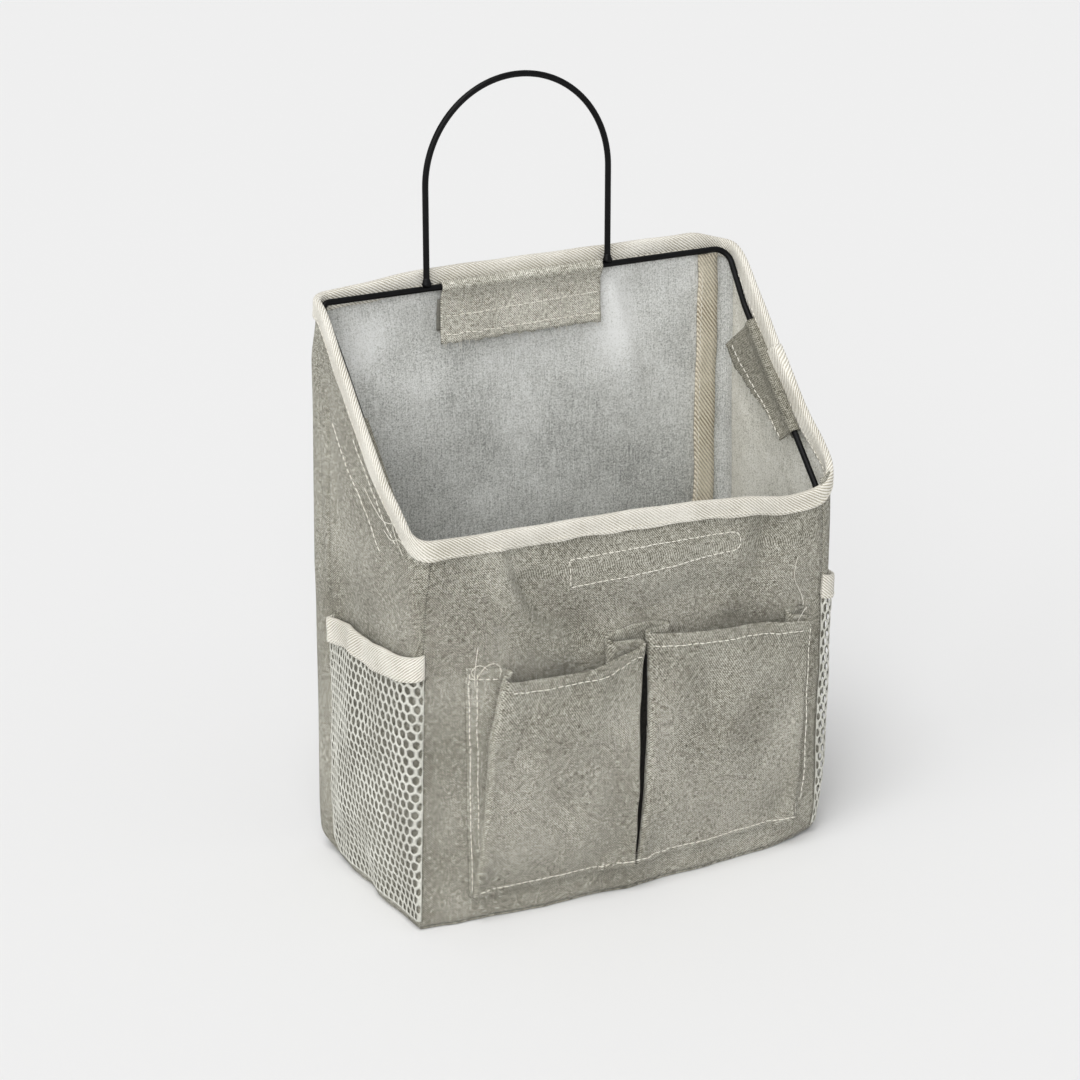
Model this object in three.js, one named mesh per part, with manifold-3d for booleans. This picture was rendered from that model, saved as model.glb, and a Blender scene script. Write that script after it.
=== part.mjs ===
// Bedside caddy: a sewn linen bag that hangs from a black wire frame with an arched hanger.
// Millimetres. +X is to the right seen from the front, +Y points to the wall behind it and +Z is up.
// The origin is the centre of the base, on the surface that the bag stands on.
import * as THREE from "three";
import { mergeVertices } from "three/addons/utils/BufferGeometryUtils.js";
import Module from "manifold-3d";

const wasm = await Module();
wasm.setup();

// Bag
const bagWidth = 225;
const bagDepth = 100;
const backHeight = 285;
const backCornerDrop = 4.5;
const backCornerRadius = 8;
const frontHeight = 190;
const frontRimDip = 11;
const clothThickness = 1.2;
const pieceGap = 0.3;

// Belly of the hanging bag: how far each wall stands out at its foot
const frontBelly = 8;
const backBelly = 8;
const sideFlare = 0.5;
const bellyTopShare = 0.8;

// The wire ring is wider on its left and pushes that wall out under its rim.
const leftBarPush = 2.5;
const leftWallSlack = 0.6;
const leftPushFullMargin = 6;
const leftPushFade = 28;
const leftPushFrontReach = 21;
const leftPushBackReach = 22;
const leftPushBackShare = 0.4;
const leftPushInnerShare = 0.6;
const leftPushOuterShare = 0.92;

// Binding tape, folded over the rim, and the narrow tape on the inner seams
const tapeThickness = 1;
const rimTapeWidth = 7.5;
const seamTapeWidth = 11;
const seamTapeThickness = 2;
const seamTapeTopClearance = 6;
const backSeamTapeInset = 6;

// Wire frame
const wireDiameter = 3;
const backBarBelowRim = 7;
const frontBarBelowRim = 15.5;
const kneeBelowRim = 13.75;
const sideKneeBehindCentre = 27;
const frameCornerRadius = 8;
const kneeRadius = 40;
const archCentreX = -9.5;
const archFootSpan = 97;
const archHeight = 98;
const weldHeight = 3;

// Hook-and-loop flaps that close over the wire
const flapThickness = 1;
const stripWidth = 15.5;
const stripBelowBar = 7;
const hookStripThickness = 1.5;
const loopStripThickness = 1.2;
const flapDrop = 28;
const sideFlapDrop = 24;
const backFlapFromLeftFoot = 7.5;
const backFlapFromRightFoot = 3.5;
const frontFlapLength = 91;
const frontFlapCentreX = 10.5;
const sideFlapLength = 61;
const leftFlapBehindCentre = -13;
const rightFlapBehindCentre = 0.5;
const rightFlapAjarDegrees = 8;
const curlEndDegrees = 150;
const curlTangentDegrees = 25;

// Front pockets: one strip of cloth with pleats, sewn to the front panel
const pocketLeftX = -88;
const pocketRightX = 94.5;
const pocketBottomHeight = 13.5;
const pocketTopHeight = 129;
const pocketTopDip = 10;
const pocketSlitTopX = 2.5;
const pocketSlitBottomX = -4;
const pocketSlitWidth = 2.2;
const pleatLayerGap = 0.5;
const pocketDepth = 9;
const leftPleatTop = 21;
const leftPleatBottom = 16;
const leftFaceInsetTop = 16;
const leftFaceInsetBottom = 1;
const centrePleatReach = 16;
const rightPleatReach = 10;
const rightFaceInset = 3;

// Side net pockets
const netThickness = 1;
const netBulge = 5;
const netBottomHeight = 3.5;
const netBackHeight = 130;
const netFrontHeight = 137;
const netTapeWidth = 12;
const netTapeSlack = 0.8;
const netBorder = 4;
const netGapsAcross = 8;
const netGapRows = 9;
const netStrand = 1.5;

// Share of the depth from the back edge, and share of the drop from the back corner to the front corner
const sideRimShares = [
  [0, 0],
  [0.06, 0.008],
  [0.14, 0.045],
  [0.3, 0.235],
  [0.58, 0.595],
  [0.72, 0.75],
  [0.88, 0.885],
  [0.97, 1],
  [1, 1],
];
// Share of the width from the left edge, and share of the front rim's dip
const frontRimShares = [
  [0, 0],
  [0.06, 0.12],
  [0.3, 0.22],
  [0.5, 0.29],
  [0.66, 0.45],
  [0.78, 0.65],
  [0.88, 1],
  [0.96, 0.85],
  [1, 0.3],
];
// Share of the pocket's height, and share of the depth that it stands off the front panel there
const pocketDepthShares = [
  [0, 0],
  [0.04, 0.1],
  [0.22, 0.6],
  [0.4, 0.78],
  [0.6, 0.9],
  [0.8, 0.97],
  [1, 1],
];
// Share of the pockets' width from the left, and share of the dip of their top edge
const pocketTopShares = [
  [0, 0],
  [0.09, 0.8],
  [0.28, 0.95],
  [0.47, 0.1],
  [0.5, 0],
  [0.75, 0.6],
  [1, 1],
];
const netRampShare = 0.3;

const halfTurn = Math.PI;
const quarterTurn = Math.PI / 2;
const halfWidth = bagWidth / 2;
const halfDepth = bagDepth / 2;
const halfCloth = clothThickness / 2;
const wireRadius = wireDiameter / 2;
const wallBase = clothThickness + pieceGap;
const backCornerHeight = backHeight - backCornerDrop;

// From a wall's inner face to the axis of the wire beside it: tape, flap and wire, each with its gap.
const flapRadius = wireRadius + pieceGap;
const barOffset = pieceGap + tapeThickness + pieceGap + flapThickness + flapRadius;
const backFlapLength = archFootSpan - backFlapFromLeftFoot - backFlapFromRightFoot;
const backFlapCentreX = archCentreX + (backFlapFromLeftFoot - backFlapFromRightFoot) / 2;
const sideBarX = halfWidth - clothThickness - barOffset;
const backBarY = halfDepth - clothThickness - barOffset;
const barX = (side) => (side < 0 ? -sideBarX - leftBarPush : sideBarX);

const spread = (from, to, count) =>
  Array.from({ length: count }, (_, i) => from + ((to - from) * i) / (count - 1));

// Height on a curve through shares, at a share of its length.
function alongShares(shares, at) {
  const last = shares.length - 1;
  const i = Math.max(1, Math.min(last, shares.findIndex(([s]) => s >= at)));
  const [before, low] = shares[i - 1];
  const [after, high] = shares[i];
  const t = (at - before) / (after - before);
  return low + (high - low) * t;
}

function frontRimHeight(x) {
  const share = THREE.MathUtils.clamp((x + halfWidth) / bagWidth, 0, 1);
  return frontHeight - frontRimDip * alongShares(frontRimShares, share);
}

function sideRimHeight(y, side) {
  const share = THREE.MathUtils.clamp((halfDepth - y) / bagDepth, 0, 1);
  const drop = backCornerHeight - frontRimHeight(side * halfWidth);
  return backCornerHeight - drop * alongShares(sideRimShares, share);
}

// The back rim is level behind the wire and falls over the rounded corners.
function backRimHeight(x) {
  const fromCorner = halfWidth - Math.abs(x);
  const t = THREE.MathUtils.smoothstep(fromCorner, 0, 2 * backCornerRadius);
  return backCornerHeight + backCornerDrop * t;
}

// A closed solid through rings with the same number of points. An open run is capped at both ends.
function solidThroughRings(rings, closed = false) {
  const count = rings[0].length;
  const index = [];
  const runs = closed ? rings.length : rings.length - 1;
  for (let r = 0; r < runs; r++) {
    const next = (r + 1) % rings.length;
    for (let i = 0; i < count; i++) {
      const j = (i + 1) % count;
      index.push(r * count + i, r * count + j, next * count + j);
      index.push(r * count + i, next * count + j, next * count + i);
    }
  }
  if (!closed) {
    const cap = capTriangles(count);
    const last = (rings.length - 1) * count;
    index.push(...cap.flatMap(([a, b, c]) => [a, c, b]));
    index.push(...cap.flatMap((triangle) => triangle.map((i) => last + i)));
  }
  const points = rings.flat();
  const volume = signedVolume(points, index);
  const geometry = new THREE.BufferGeometry().setFromPoints(points);
  geometry.setIndex(volume < 0 ? index.toReversed() : index);
  geometry.computeVertexNormals();
  return geometry;
}

// Triangles across a ring whose second half runs back beside its first half.
function capTriangles(count) {
  return Array.from({ length: count / 2 - 1 }, (_, i) => {
    const beside = count - 1 - i;
    return [
      [i, i + 1, beside - 1],
      [i, beside - 1, beside],
    ];
  }).flat();
}

function signedVolume(points, index) {
  let volume = 0;
  for (let i = 0; i < index.length; i += 3) {
    const [a, b, c] = [points[index[i]], points[index[i + 1]], points[index[i + 2]]];
    volume += a.dot(new THREE.Vector3().crossVectors(b, c));
  }
  return volume;
}

// manifold-3d cuts one closed geometry with others.
function toManifold(geometry) {
  const bare = geometry.clone();
  bare.deleteAttribute("normal");
  bare.deleteAttribute("uv");
  const merged = mergeVertices(bare);
  return new wasm.Manifold(
    new wasm.Mesh({
      numProp: 3,
      vertProperties: merged.attributes.position.array,
      triVerts: new Uint32Array(merged.index.array),
    }),
  );
}

function cut(geometry, ...tools) {
  let solid = toManifold(geometry);
  for (const tool of tools) {
    solid = solid.subtract(toManifold(tool));
  }
  const mesh = solid.getMesh();
  const result = new THREE.BufferGeometry();
  result.setAttribute("position", new THREE.BufferAttribute(mesh.vertProperties, 3));
  result.setIndex(new THREE.BufferAttribute(mesh.triVerts, 1));
  result.computeVertexNormals();
  return result;
}

// Finishes
const finish = (color, roughness, metalness = 0) => new THREE.MeshStandardMaterial({ color, roughness, metalness });
const linen = finish(0x9b978a, 0.95);
const cotton = finish(0xd9d2c2, 0.9);
const netting = finish(0xd6d4cd, 0.85);
const hookTape = finish(0x8f8b80, 0.8);
const loopTape = finish(0x9a968b, 0.95);
const blackWire = finish(0x121214, 0.38, 0.2);

function piece(name, geometry, material) {
  const mesh = new THREE.Mesh(geometry, material);
  mesh.name = name;
  return mesh;
}

function slab(width, depth, height) {
  return new THREE.BoxGeometry(width, depth, height);
}

const backBarHeight = backHeight - backBarBelowRim;
const frontBarHeight = frontHeight - frontBarBelowRim;
const sideKneeHeight = sideRimHeight(sideKneeBehindCentre, 1) - kneeBelowRim;

// The bag stands out below its rim, most at the foot and in the middle of each wall.
function swollen({ x, y, z }) {
  const endHeight = y < 0 ? frontRimHeight(x) : backRimHeight(x);
  const sideHeight = sideRimHeight(y, Math.sign(x));
  const endBelly = (y < 0 ? frontBelly : backBelly) * bellyShare(z / endHeight);
  const acrossShare = x / halfWidth;
  const bow = Math.max(0, 1 - acrossShare ** 2);
  const flareX = acrossShare * sideFlare * bellyShare(z / sideHeight);
  const outX = x + flareX - leftPush(-acrossShare, y, sideHeight - z);
  const outY = y + (y / halfDepth) * endBelly * bow;
  return new THREE.Vector3(outX, outY, z);
}

function bellyShare(heightShare) {
  return 1 - THREE.MathUtils.smoothstep(heightShare, 0, bellyTopShare);
}

// The push dies away below the left hook strip, over the front corner and round the back corner.
function leftPush(leftShare, y, belowRim) {
  const { lerp, smoothstep } = THREE.MathUtils;
  const fullDepth = kneeBelowRim + (stripBelowBar + stripWidth) / sideBarRun.y + leftPushFullMargin;
  const below = 1 - smoothstep(belowRim, fullDepth, fullDepth + leftPushFade);
  const across = smoothstep(leftShare, leftPushInnerShare, leftPushOuterShare);
  const fromFront = smoothstep(y + halfDepth, 0, leftPushFrontReach);
  const atBack = lerp(leftPushBackShare, 1, smoothstep(halfDepth - y, 0, leftPushBackReach));
  return (leftBarPush + leftWallSlack) * below * across * fromFront * atBack;
}

function swell(geometry) {
  const position = geometry.attributes.position;
  for (let i = 0; i < position.count; i++) {
    const p = swollen(new THREE.Vector3().fromBufferAttribute(position, i));
    position.setXYZ(i, p.x, p.y, p.z);
  }
  geometry.computeVertexNormals();
  return geometry;
}

// Walls: an upright sheet follows its plan line, as thick as the cloth, with its top on the rim.
function station(x, y, normalX, normalY, top, tilts = false) {
  return { x, y, normal: new THREE.Vector3(normalX, normalY, 0), top, tilts };
}

function uprightSheet(stations) {
  const rings = stations.map(({ x, y, normal, top }) => {
    const out = normal.clone().multiplyScalar(halfCloth);
    const levels = spread(wallBase, top, wallLevelCount);
    return [
      ...levels.map((z) => new THREE.Vector3(x + out.x, y + out.y, z)),
      ...levels.toReversed().map((z) => new THREE.Vector3(x - out.x, y - out.y, z)),
    ];
  });
  return swell(solidThroughRings(rings));
}

const middleX = halfWidth - halfCloth;
const middleY = halfDepth - halfCloth;
const wrapRadius = backCornerRadius - halfCloth;
const seamY = middleY - wrapRadius;
const frontPanelBackY = -halfDepth + clothThickness + pieceGap;
const sideStationCount = 25;
const backStationCount = 15;
const frontStationCount = 17;
const wallLevelCount = 12;
const wrapSteps = 5;

function frontStations(reach) {
  const xs = spread(-reach, reach, frontStationCount);
  return xs.map((x) => station(x, -middleY, 0, -1, frontRimHeight(x)));
}

// Along a side wall, with the same places between its ends for the panel and for its binding.
function sideStations(side, from, to) {
  const between = spread(-middleY, seamY, sideStationCount).slice(1, -1);
  return [from, ...between, to].map((y) => station(side * middleX, y, side, 0, sideRimHeight(y, side), true));
}

// Round a back corner, from the side seam to the back.
function wrapStations(side) {
  return spread(0, quarterTurn, wrapSteps + 1).map((angle) => {
    const x = side * (middleX - wrapRadius + wrapRadius * Math.cos(angle));
    const y = seamY + wrapRadius * Math.sin(angle);
    const share = angle / quarterTurn;
    const top = THREE.MathUtils.lerp(sideRimHeight(y, side), backRimHeight(x), share);
    return station(x, y, side * Math.cos(angle), Math.sin(angle), top);
  });
}

function backStations() {
  const reach = middleX - wrapRadius;
  return spread(reach, -reach, backStationCount)
    .slice(1, -1)
    .map((x) => station(x, middleY, 0, 1, backRimHeight(x)));
}

const aroundBack = [...wrapStations(1), ...backStations(), ...wrapStations(-1).reverse()];

function frontPanel() {
  return uprightSheet(frontStations(halfWidth));
}

function sidePanel(side) {
  return uprightSheet(sideStations(side, frontPanelBackY, seamY - pieceGap));
}

function bottomPanel() {
  const shape = new THREE.Shape();
  const r = backCornerRadius;
  lineAlong(shape, spread(-halfWidth, halfWidth, frontStationCount), -halfDepth);
  shape.lineTo(halfWidth, halfDepth - r);
  shape.absarc(halfWidth - r, halfDepth - r, r, 0, quarterTurn);
  lineAlong(shape, spread(halfWidth - r, -halfWidth + r, backStationCount), halfDepth);
  shape.absarc(-halfWidth + r, halfDepth - r, r, quarterTurn, halfTurn);
  shape.closePath();
  return swell(
    new THREE.ExtrudeGeometry(shape, {
      depth: clothThickness,
      bevelEnabled: false,
      curveSegments: wrapSteps,
    }),
  );
}

// Carries a path on through points at one depth.
function lineAlong(path, xs, y) {
  xs.forEach((x, i) => {
    if (path.curves.length === 0 && i === 0) {
      path.moveTo(x, y);
    } else {
      path.lineTo(x, y);
    }
  });
}

// One tape folded over the whole rim, as a channel that the walls' top edges stand in.
const channelInner = halfCloth + pieceGap;
const channelOuter = channelInner + tapeThickness;

function channelSection(inner, outer, legs, top) {
  return [
    [outer, -legs],
    [outer, top],
    [-outer, top],
    [-outer, -legs],
    [-inner, -legs],
    [-inner, top - tapeThickness],
    [inner, top - tapeThickness],
    [inner, -legs],
  ];
}

function rimBinding() {
  const corner = (side) => station(side * middleX, -middleY, side, -1, sideRimHeight(-middleY, side));
  const inner = (list) => list.slice(1, -1);
  const loop = [
    corner(-1),
    ...inner(frontStations(middleX)),
    corner(1),
    ...inner(sideStations(1, -middleY, seamY)),
    ...aroundBack,
    ...inner(sideStations(-1, -middleY, seamY)).reverse(),
  ];
  const section = channelSection(channelInner, channelOuter, rimTapeWidth, pieceGap + tapeThickness);
  const rings = loop.map((at, i) => {
    const before = loop.at(i - 1);
    const after = loop[(i + 1) % loop.length];
    const up = new THREE.Vector3(0, 0, 1);
    if (at.tilts) {
      const run = new THREE.Vector3(0, after.y - before.y, after.top - before.top).normalize();
      up.set(0, -run.z, run.y).multiplyScalar(Math.sign(run.y));
    }
    return section.map(([across, above]) =>
      new THREE.Vector3(at.x, at.y, at.top).addScaledVector(at.normal, across).addScaledVector(up, above),
    );
  });
  return swell(solidThroughRings(rings, true));
}

// Taped seam allowances inside the bag
function seamTape(side, wall) {
  const top = wall > 0 ? sideRimHeight(seamY, side) : frontHeight - frontRimDip;
  const base = wallBase + seamTapeThickness + pieceGap;
  const height = top - rimTapeWidth - seamTapeTopClearance - base;
  const inset = wall > 0 ? backSeamTapeInset : pieceGap;
  const innerX = halfWidth - clothThickness;
  const innerY = halfDepth - clothThickness;
  const geometry = new THREE.BoxGeometry(seamTapeWidth, seamTapeThickness, height, 1, 1, wallLevelCount);
  const x = side * (innerX - inset - seamTapeWidth / 2);
  const y = wall * (innerY - pieceGap - seamTapeThickness / 2);
  return swell(geometry.translate(x, y, base + height / 2));
}

function bottomSeamTape() {
  const innerX = halfWidth - clothThickness - pieceGap;
  const innerY = halfDepth - clothThickness - pieceGap;
  const corner = backCornerRadius;
  const ring = new THREE.Shape();
  lineAlong(ring, spread(-innerX, innerX, frontStationCount), -innerY);
  ring.lineTo(innerX, innerY - corner);
  lineAlong(ring, spread(innerX - corner, -innerX + corner, backStationCount), innerY);
  ring.lineTo(-innerX, innerY - corner);
  ring.closePath();
  const holeX = innerX - seamTapeWidth;
  const holeY = innerY - seamTapeWidth;
  const hole = new THREE.Path();
  lineAlong(hole, spread(-holeX, holeX, frontStationCount), holeY);
  lineAlong(hole, spread(holeX, -holeX, backStationCount), -holeY);
  hole.closePath();
  ring.holes.push(hole);
  const geometry = new THREE.ExtrudeGeometry(ring, { depth: seamTapeThickness, bevelEnabled: false });
  return swell(geometry.translate(0, 0, wallBase));
}

// Wire frame
const wireSides = 8;
const bendSteps = 5;
const archSteps = 44;

// Points of a closed line with its corners rounded.
function roundedLoop(corners) {
  return corners.flatMap(({ at, radius }, i) => {
    const before = corners.at(i - 1).at;
    const after = corners[(i + 1) % corners.length].at;
    const inward = new THREE.Vector3().subVectors(at, before).normalize();
    const onward = new THREE.Vector3().subVectors(after, at).normalize();
    const turn = inward.angleTo(onward);
    const reach = radius * Math.tan(turn / 2);
    const start = at.clone().addScaledVector(inward, -reach);
    const middle = new THREE.Vector3().subVectors(onward, inward).normalize();
    const centre = at.clone().addScaledVector(middle, radius / Math.cos(turn / 2));
    const arm = new THREE.Vector3().subVectors(start, centre);
    const axis = new THREE.Vector3().crossVectors(inward, onward).normalize();
    return spread(0, turn, bendSteps + 1).map((angle) => arm.clone().applyAxisAngle(axis, angle).add(centre));
  });
}

function wireRing(points) {
  const centre = new THREE.Vector3();
  points.forEach((p) => centre.addScaledVector(p, 1 / points.length));
  const rings = points.map((p, i) => {
    const run = new THREE.Vector3().subVectors(points[(i + 1) % points.length], points.at(i - 1)).normalize();
    const inward = new THREE.Vector3().subVectors(centre, p);
    inward.addScaledVector(run, -inward.dot(run)).normalize();
    const across = new THREE.Vector3().crossVectors(run, inward);
    return spread(0, 2 * halfTurn, wireSides + 1)
      .slice(1)
      .map((angle) =>
        p
          .clone()
          .addScaledVector(inward, wireRadius * Math.cos(angle))
          .addScaledVector(across, wireRadius * Math.sin(angle)),
      );
  });
  return solidThroughRings(rings, true);
}

const frameCorner = (side) => new THREE.Vector3(barX(side), backBarY, backBarHeight);
const frameKnee = (side) => new THREE.Vector3(barX(side), sideKneeBehindCentre, sideKneeHeight);
const frameFront = (side) => new THREE.Vector3(barX(side), -backBarY, frontBarHeight);

function rimWire() {
  return wireRing(
    roundedLoop([
      { at: frameCorner(1), radius: frameCornerRadius },
      { at: frameCorner(-1), radius: frameCornerRadius },
      { at: frameKnee(-1), radius: kneeRadius },
      { at: frameFront(-1), radius: frameCornerRadius },
      { at: frameFront(1), radius: frameCornerRadius },
      { at: frameKnee(1), radius: kneeRadius },
    ]),
  );
}

const archFootHeight = backBarHeight + wireRadius + pieceGap;

function hangerArch() {
  const radius = archFootSpan / 2;
  const springing = backBarHeight + archHeight - radius - wireRadius;
  const point = (angle) =>
    new THREE.Vector3(archCentreX + radius * Math.cos(angle), backBarY, springing + radius * Math.sin(angle));
  const foot = (side) => new THREE.Vector3(archCentreX + side * radius, backBarY, archFootHeight);
  const path = new THREE.CurvePath();
  const archCurve = new THREE.Curve();
  archCurve.getPoint = (t, target = new THREE.Vector3()) => target.copy(point(t * halfTurn));
  path.add(new THREE.LineCurve3(foot(1), point(0)));
  path.add(archCurve);
  path.add(new THREE.LineCurve3(point(halfTurn), foot(-1)));
  const section = new THREE.Shape();
  spread(0, 2 * halfTurn, wireSides + 1)
    .slice(1)
    .forEach((angle, i) => {
      const x = wireRadius * Math.cos(angle);
      const y = wireRadius * Math.sin(angle);
      if (i === 0) {
        section.moveTo(x, y);
      } else {
        section.lineTo(x, y);
      }
    });
  return new THREE.ExtrudeGeometry(section, { steps: archSteps, extrudePath: path });
}

// A bead of weld round an arch foot, saddled on the back bar.
function weldBead(side) {
  const x = archCentreX + (side * archFootSpan) / 2;
  const inner = wireRadius + pieceGap;
  const outer = barOffset - channelOuter + halfCloth - pieceGap;
  const base = backBarHeight;
  const profile = [
    new THREE.Vector2(inner, 0),
    new THREE.Vector2(outer, 0),
    new THREE.Vector2(outer, wireRadius),
    new THREE.Vector2(inner + pieceGap, wireRadius + weldHeight),
    new THREE.Vector2(inner, wireRadius + weldHeight),
    new THREE.Vector2(inner, 0),
  ];
  const bead = new THREE.LatheGeometry(profile, 2 * wireSides);
  bead.rotateX(quarterTurn).translate(x, backBarY, base);
  const bar = new THREE.CylinderGeometry(inner, inner, archFootSpan / 2, 2 * wireSides);
  bar.rotateZ(quarterTurn).translate(x, backBarY, base);
  return cut(bead, bar);
}

// Flaps, in a frame at the bar: x points away from the wall, y up the wall and z along the bar.
// The cloth curls over the wire, slants back to the wall and hangs in front of its hook strip.
const wallX = -barOffset;
const hookX = wallX + pieceGap;
const loopX = hookX + hookStripThickness + pieceGap;
const plateX = loopX + loopStripThickness + pieceGap + flapThickness / 2;

function flapLine(drop) {
  const radius = flapRadius + flapThickness / 2;
  const start = THREE.MathUtils.degToRad(curlEndDegrees);
  const end = -THREE.MathUtils.degToRad(curlTangentDegrees);
  const curl = spread(start, end, 2 * wireSides).map(
    (angle) => new THREE.Vector2(radius * Math.cos(angle), radius * Math.sin(angle)),
  );
  const last = curl.at(-1);
  const slant = (last.x - plateX) / Math.sin(-end);
  const bendY = last.y - slant * Math.cos(end);
  return [...curl, new THREE.Vector2(plateX, bendY), new THREE.Vector2(plateX, -drop)];
}

// The outline of a line that has been given a thickness.
function ribbon(line, thickness) {
  const offset = (sign) =>
    line.map((p, i) => {
      const before = new THREE.Vector2().subVectors(p, line[Math.max(0, i - 1)]).normalize();
      const after = new THREE.Vector2().subVectors(line[Math.min(line.length - 1, i + 1)], p).normalize();
      const run = new THREE.Vector2().addVectors(before, after).normalize();
      const known = before.lengthSq() > 0 ? before : after;
      const reach = thickness / 2 / run.dot(known);
      return new THREE.Vector2(p.x - sign * run.y * reach, p.y + sign * run.x * reach);
    });
  return [...offset(1), ...offset(-1).reverse()];
}

function flapCloth(length, drop) {
  const shape = new THREE.Shape(ribbon(flapLine(drop), flapThickness));
  const geometry = new THREE.ExtrudeGeometry(shape, { depth: length, bevelEnabled: false });
  return geometry.translate(0, 0, -length / 2);
}

function flapStrip(x, thickness, length) {
  const geometry = slab(thickness, stripWidth, length);
  return geometry.translate(x + thickness / 2, -stripBelowBar - stripWidth / 2, 0);
}

function flapSet(name, at, inward, up, length, drop, ajarDegrees = 0) {
  const set = new THREE.Group();
  const along = new THREE.Vector3().crossVectors(inward, up);
  set.quaternion.setFromRotationMatrix(new THREE.Matrix4().makeBasis(inward, up, along));
  set.position.copy(at);
  const leaf = new THREE.Group();
  leaf.rotation.z = THREE.MathUtils.degToRad(ajarDegrees);
  leaf.add(piece(`${name}_flap`, flapCloth(length, drop), linen));
  leaf.add(piece(`${name}_loop_strip`, flapStrip(loopX, loopStripThickness, length), loopTape));
  set.add(leaf);
  set.add(piece(`${name}_hook_strip`, flapStrip(hookX, hookStripThickness, length), hookTape));
  return set;
}

const sideBarRun = new THREE.Vector3().subVectors(frameKnee(1), frameFront(1)).normalize();
const sideUp = new THREE.Vector3(0, -sideBarRun.z, sideBarRun.y);

function onSideBar(side, y) {
  const front = frameFront(side);
  return front.clone().addScaledVector(sideBarRun, (y - front.y) / sideBarRun.y);
}

function flaps() {
  const up = new THREE.Vector3(0, 0, 1);
  const group = new THREE.Group();
  const backAt = new THREE.Vector3(backFlapCentreX, backBarY, backBarHeight);
  const frontAt = new THREE.Vector3(frontFlapCentreX, -backBarY, frontBarHeight);
  group.add(flapSet("back", backAt, new THREE.Vector3(0, -1, 0), up, backFlapLength, flapDrop));
  group.add(flapSet("front", frontAt, new THREE.Vector3(0, 1, 0), up, frontFlapLength, flapDrop));
  const leftAt = onSideBar(-1, leftFlapBehindCentre);
  group.add(flapSet("left", leftAt, new THREE.Vector3(1, 0, 0), sideUp, sideFlapLength, sideFlapDrop));
  const rightAt = onSideBar(1, rightFlapBehindCentre);
  const inward = new THREE.Vector3(-1, 0, 0);
  group.add(flapSet("right", rightAt, inward, sideUp, sideFlapLength, sideFlapDrop, rightFlapAjarDegrees));
  return group;
}

// Front pockets
const pocketPanelY = -halfDepth - pieceGap - halfCloth;
const leastLayer = clothThickness + pleatLayerGap;
const faceStationCount = 7;

function pocketFace(from, to, foldY, openY) {
  return spread(from, to, faceStationCount).map((x, i) => {
    const edge = i === 0 || i === faceStationCount - 1;
    return new THREE.Vector2(x, edge ? foldY : openY);
  });
}

// The strip's line in plan at one level: it lies on the panel, doubles back in a pleat and crosses as a face.
function pocketLine(heightShare) {
  const standShare = alongShares(pocketDepthShares, heightShare);
  const layer = leastLayer + (pocketDepth / 2 - leastLayer) * standShare;
  const panelY = pocketPanelY;
  const pleatY = panelY - layer;
  const foldY = pleatY - layer;
  const openY = panelY - pocketDepth * standShare;
  const at = (bottom, top) => THREE.MathUtils.lerp(bottom, top, heightShare);
  const leftPleat = pocketLeftX + at(leftPleatBottom, leftPleatTop);
  const leftFace = pocketLeftX + at(leftFaceInsetBottom, leftFaceInsetTop);
  const slitX = at(pocketSlitBottomX, pocketSlitTopX);
  const slitLeft = slitX - pocketSlitWidth / 2;
  const slitRight = slitX + pocketSlitWidth / 2;
  const rightFace = pocketRightX - rightFaceInset;
  const p = (x, y) => new THREE.Vector2(x, y);
  return [
    p(pocketLeftX, panelY),
    p(leftPleat, panelY),
    p(leftPleat, pleatY),
    p(leftFace, pleatY),
    ...pocketFace(leftFace, slitLeft, foldY, openY),
    p(slitLeft, pleatY),
    p(slitLeft - centrePleatReach, pleatY),
    p(slitLeft - centrePleatReach, panelY),
    p(slitRight + rightPleatReach, panelY),
    p(slitRight + rightPleatReach, pleatY),
    p(slitRight, pleatY),
    ...pocketFace(slitRight, rightFace, foldY, openY),
    p(rightFace, pleatY),
    p(rightFace - rightPleatReach, pleatY),
    p(rightFace - rightPleatReach, panelY),
    p(pocketRightX, panelY),
  ];
}

function pocketTop(x) {
  const share = (x - pocketLeftX) / (pocketRightX - pocketLeftX);
  return pocketTopHeight - pocketTopDip * alongShares(pocketTopShares, THREE.MathUtils.clamp(share, 0, 1));
}

function frontPockets() {
  const rings = pocketDepthShares.map(([heightShare]) =>
    ribbon(pocketLine(heightShare), clothThickness).map((p) => {
      return new THREE.Vector3(p.x, p.y, THREE.MathUtils.lerp(pocketBottomHeight, pocketTop(p.x), heightShare));
    }),
  );
  return swell(solidThroughRings(rings));
}

// Side nets: a flat net with diamond gaps, pushed outwards so that the pocket stands open.
const netFrontY = -halfDepth;
const netBackY = seamY;
const netSeat = pieceGap + tapeThickness + netTapeSlack + netThickness / 2;

function netTop(y) {
  const share = (y - netFrontY) / (netBackY - netFrontY);
  return THREE.MathUtils.lerp(netFrontHeight, netBackHeight, share);
}

// How far the net stands off the side panel.
function netOffset(y, z) {
  const across = (2 * (y - netFrontY)) / (netBackY - netFrontY) - 1;
  const ramp = THREE.MathUtils.smoothstep((z - netBottomHeight) / (netTop(y) - netBottomHeight), 0, netRampShare);
  return netSeat + netBulge * (1 - across ** 4) * ramp;
}

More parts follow.
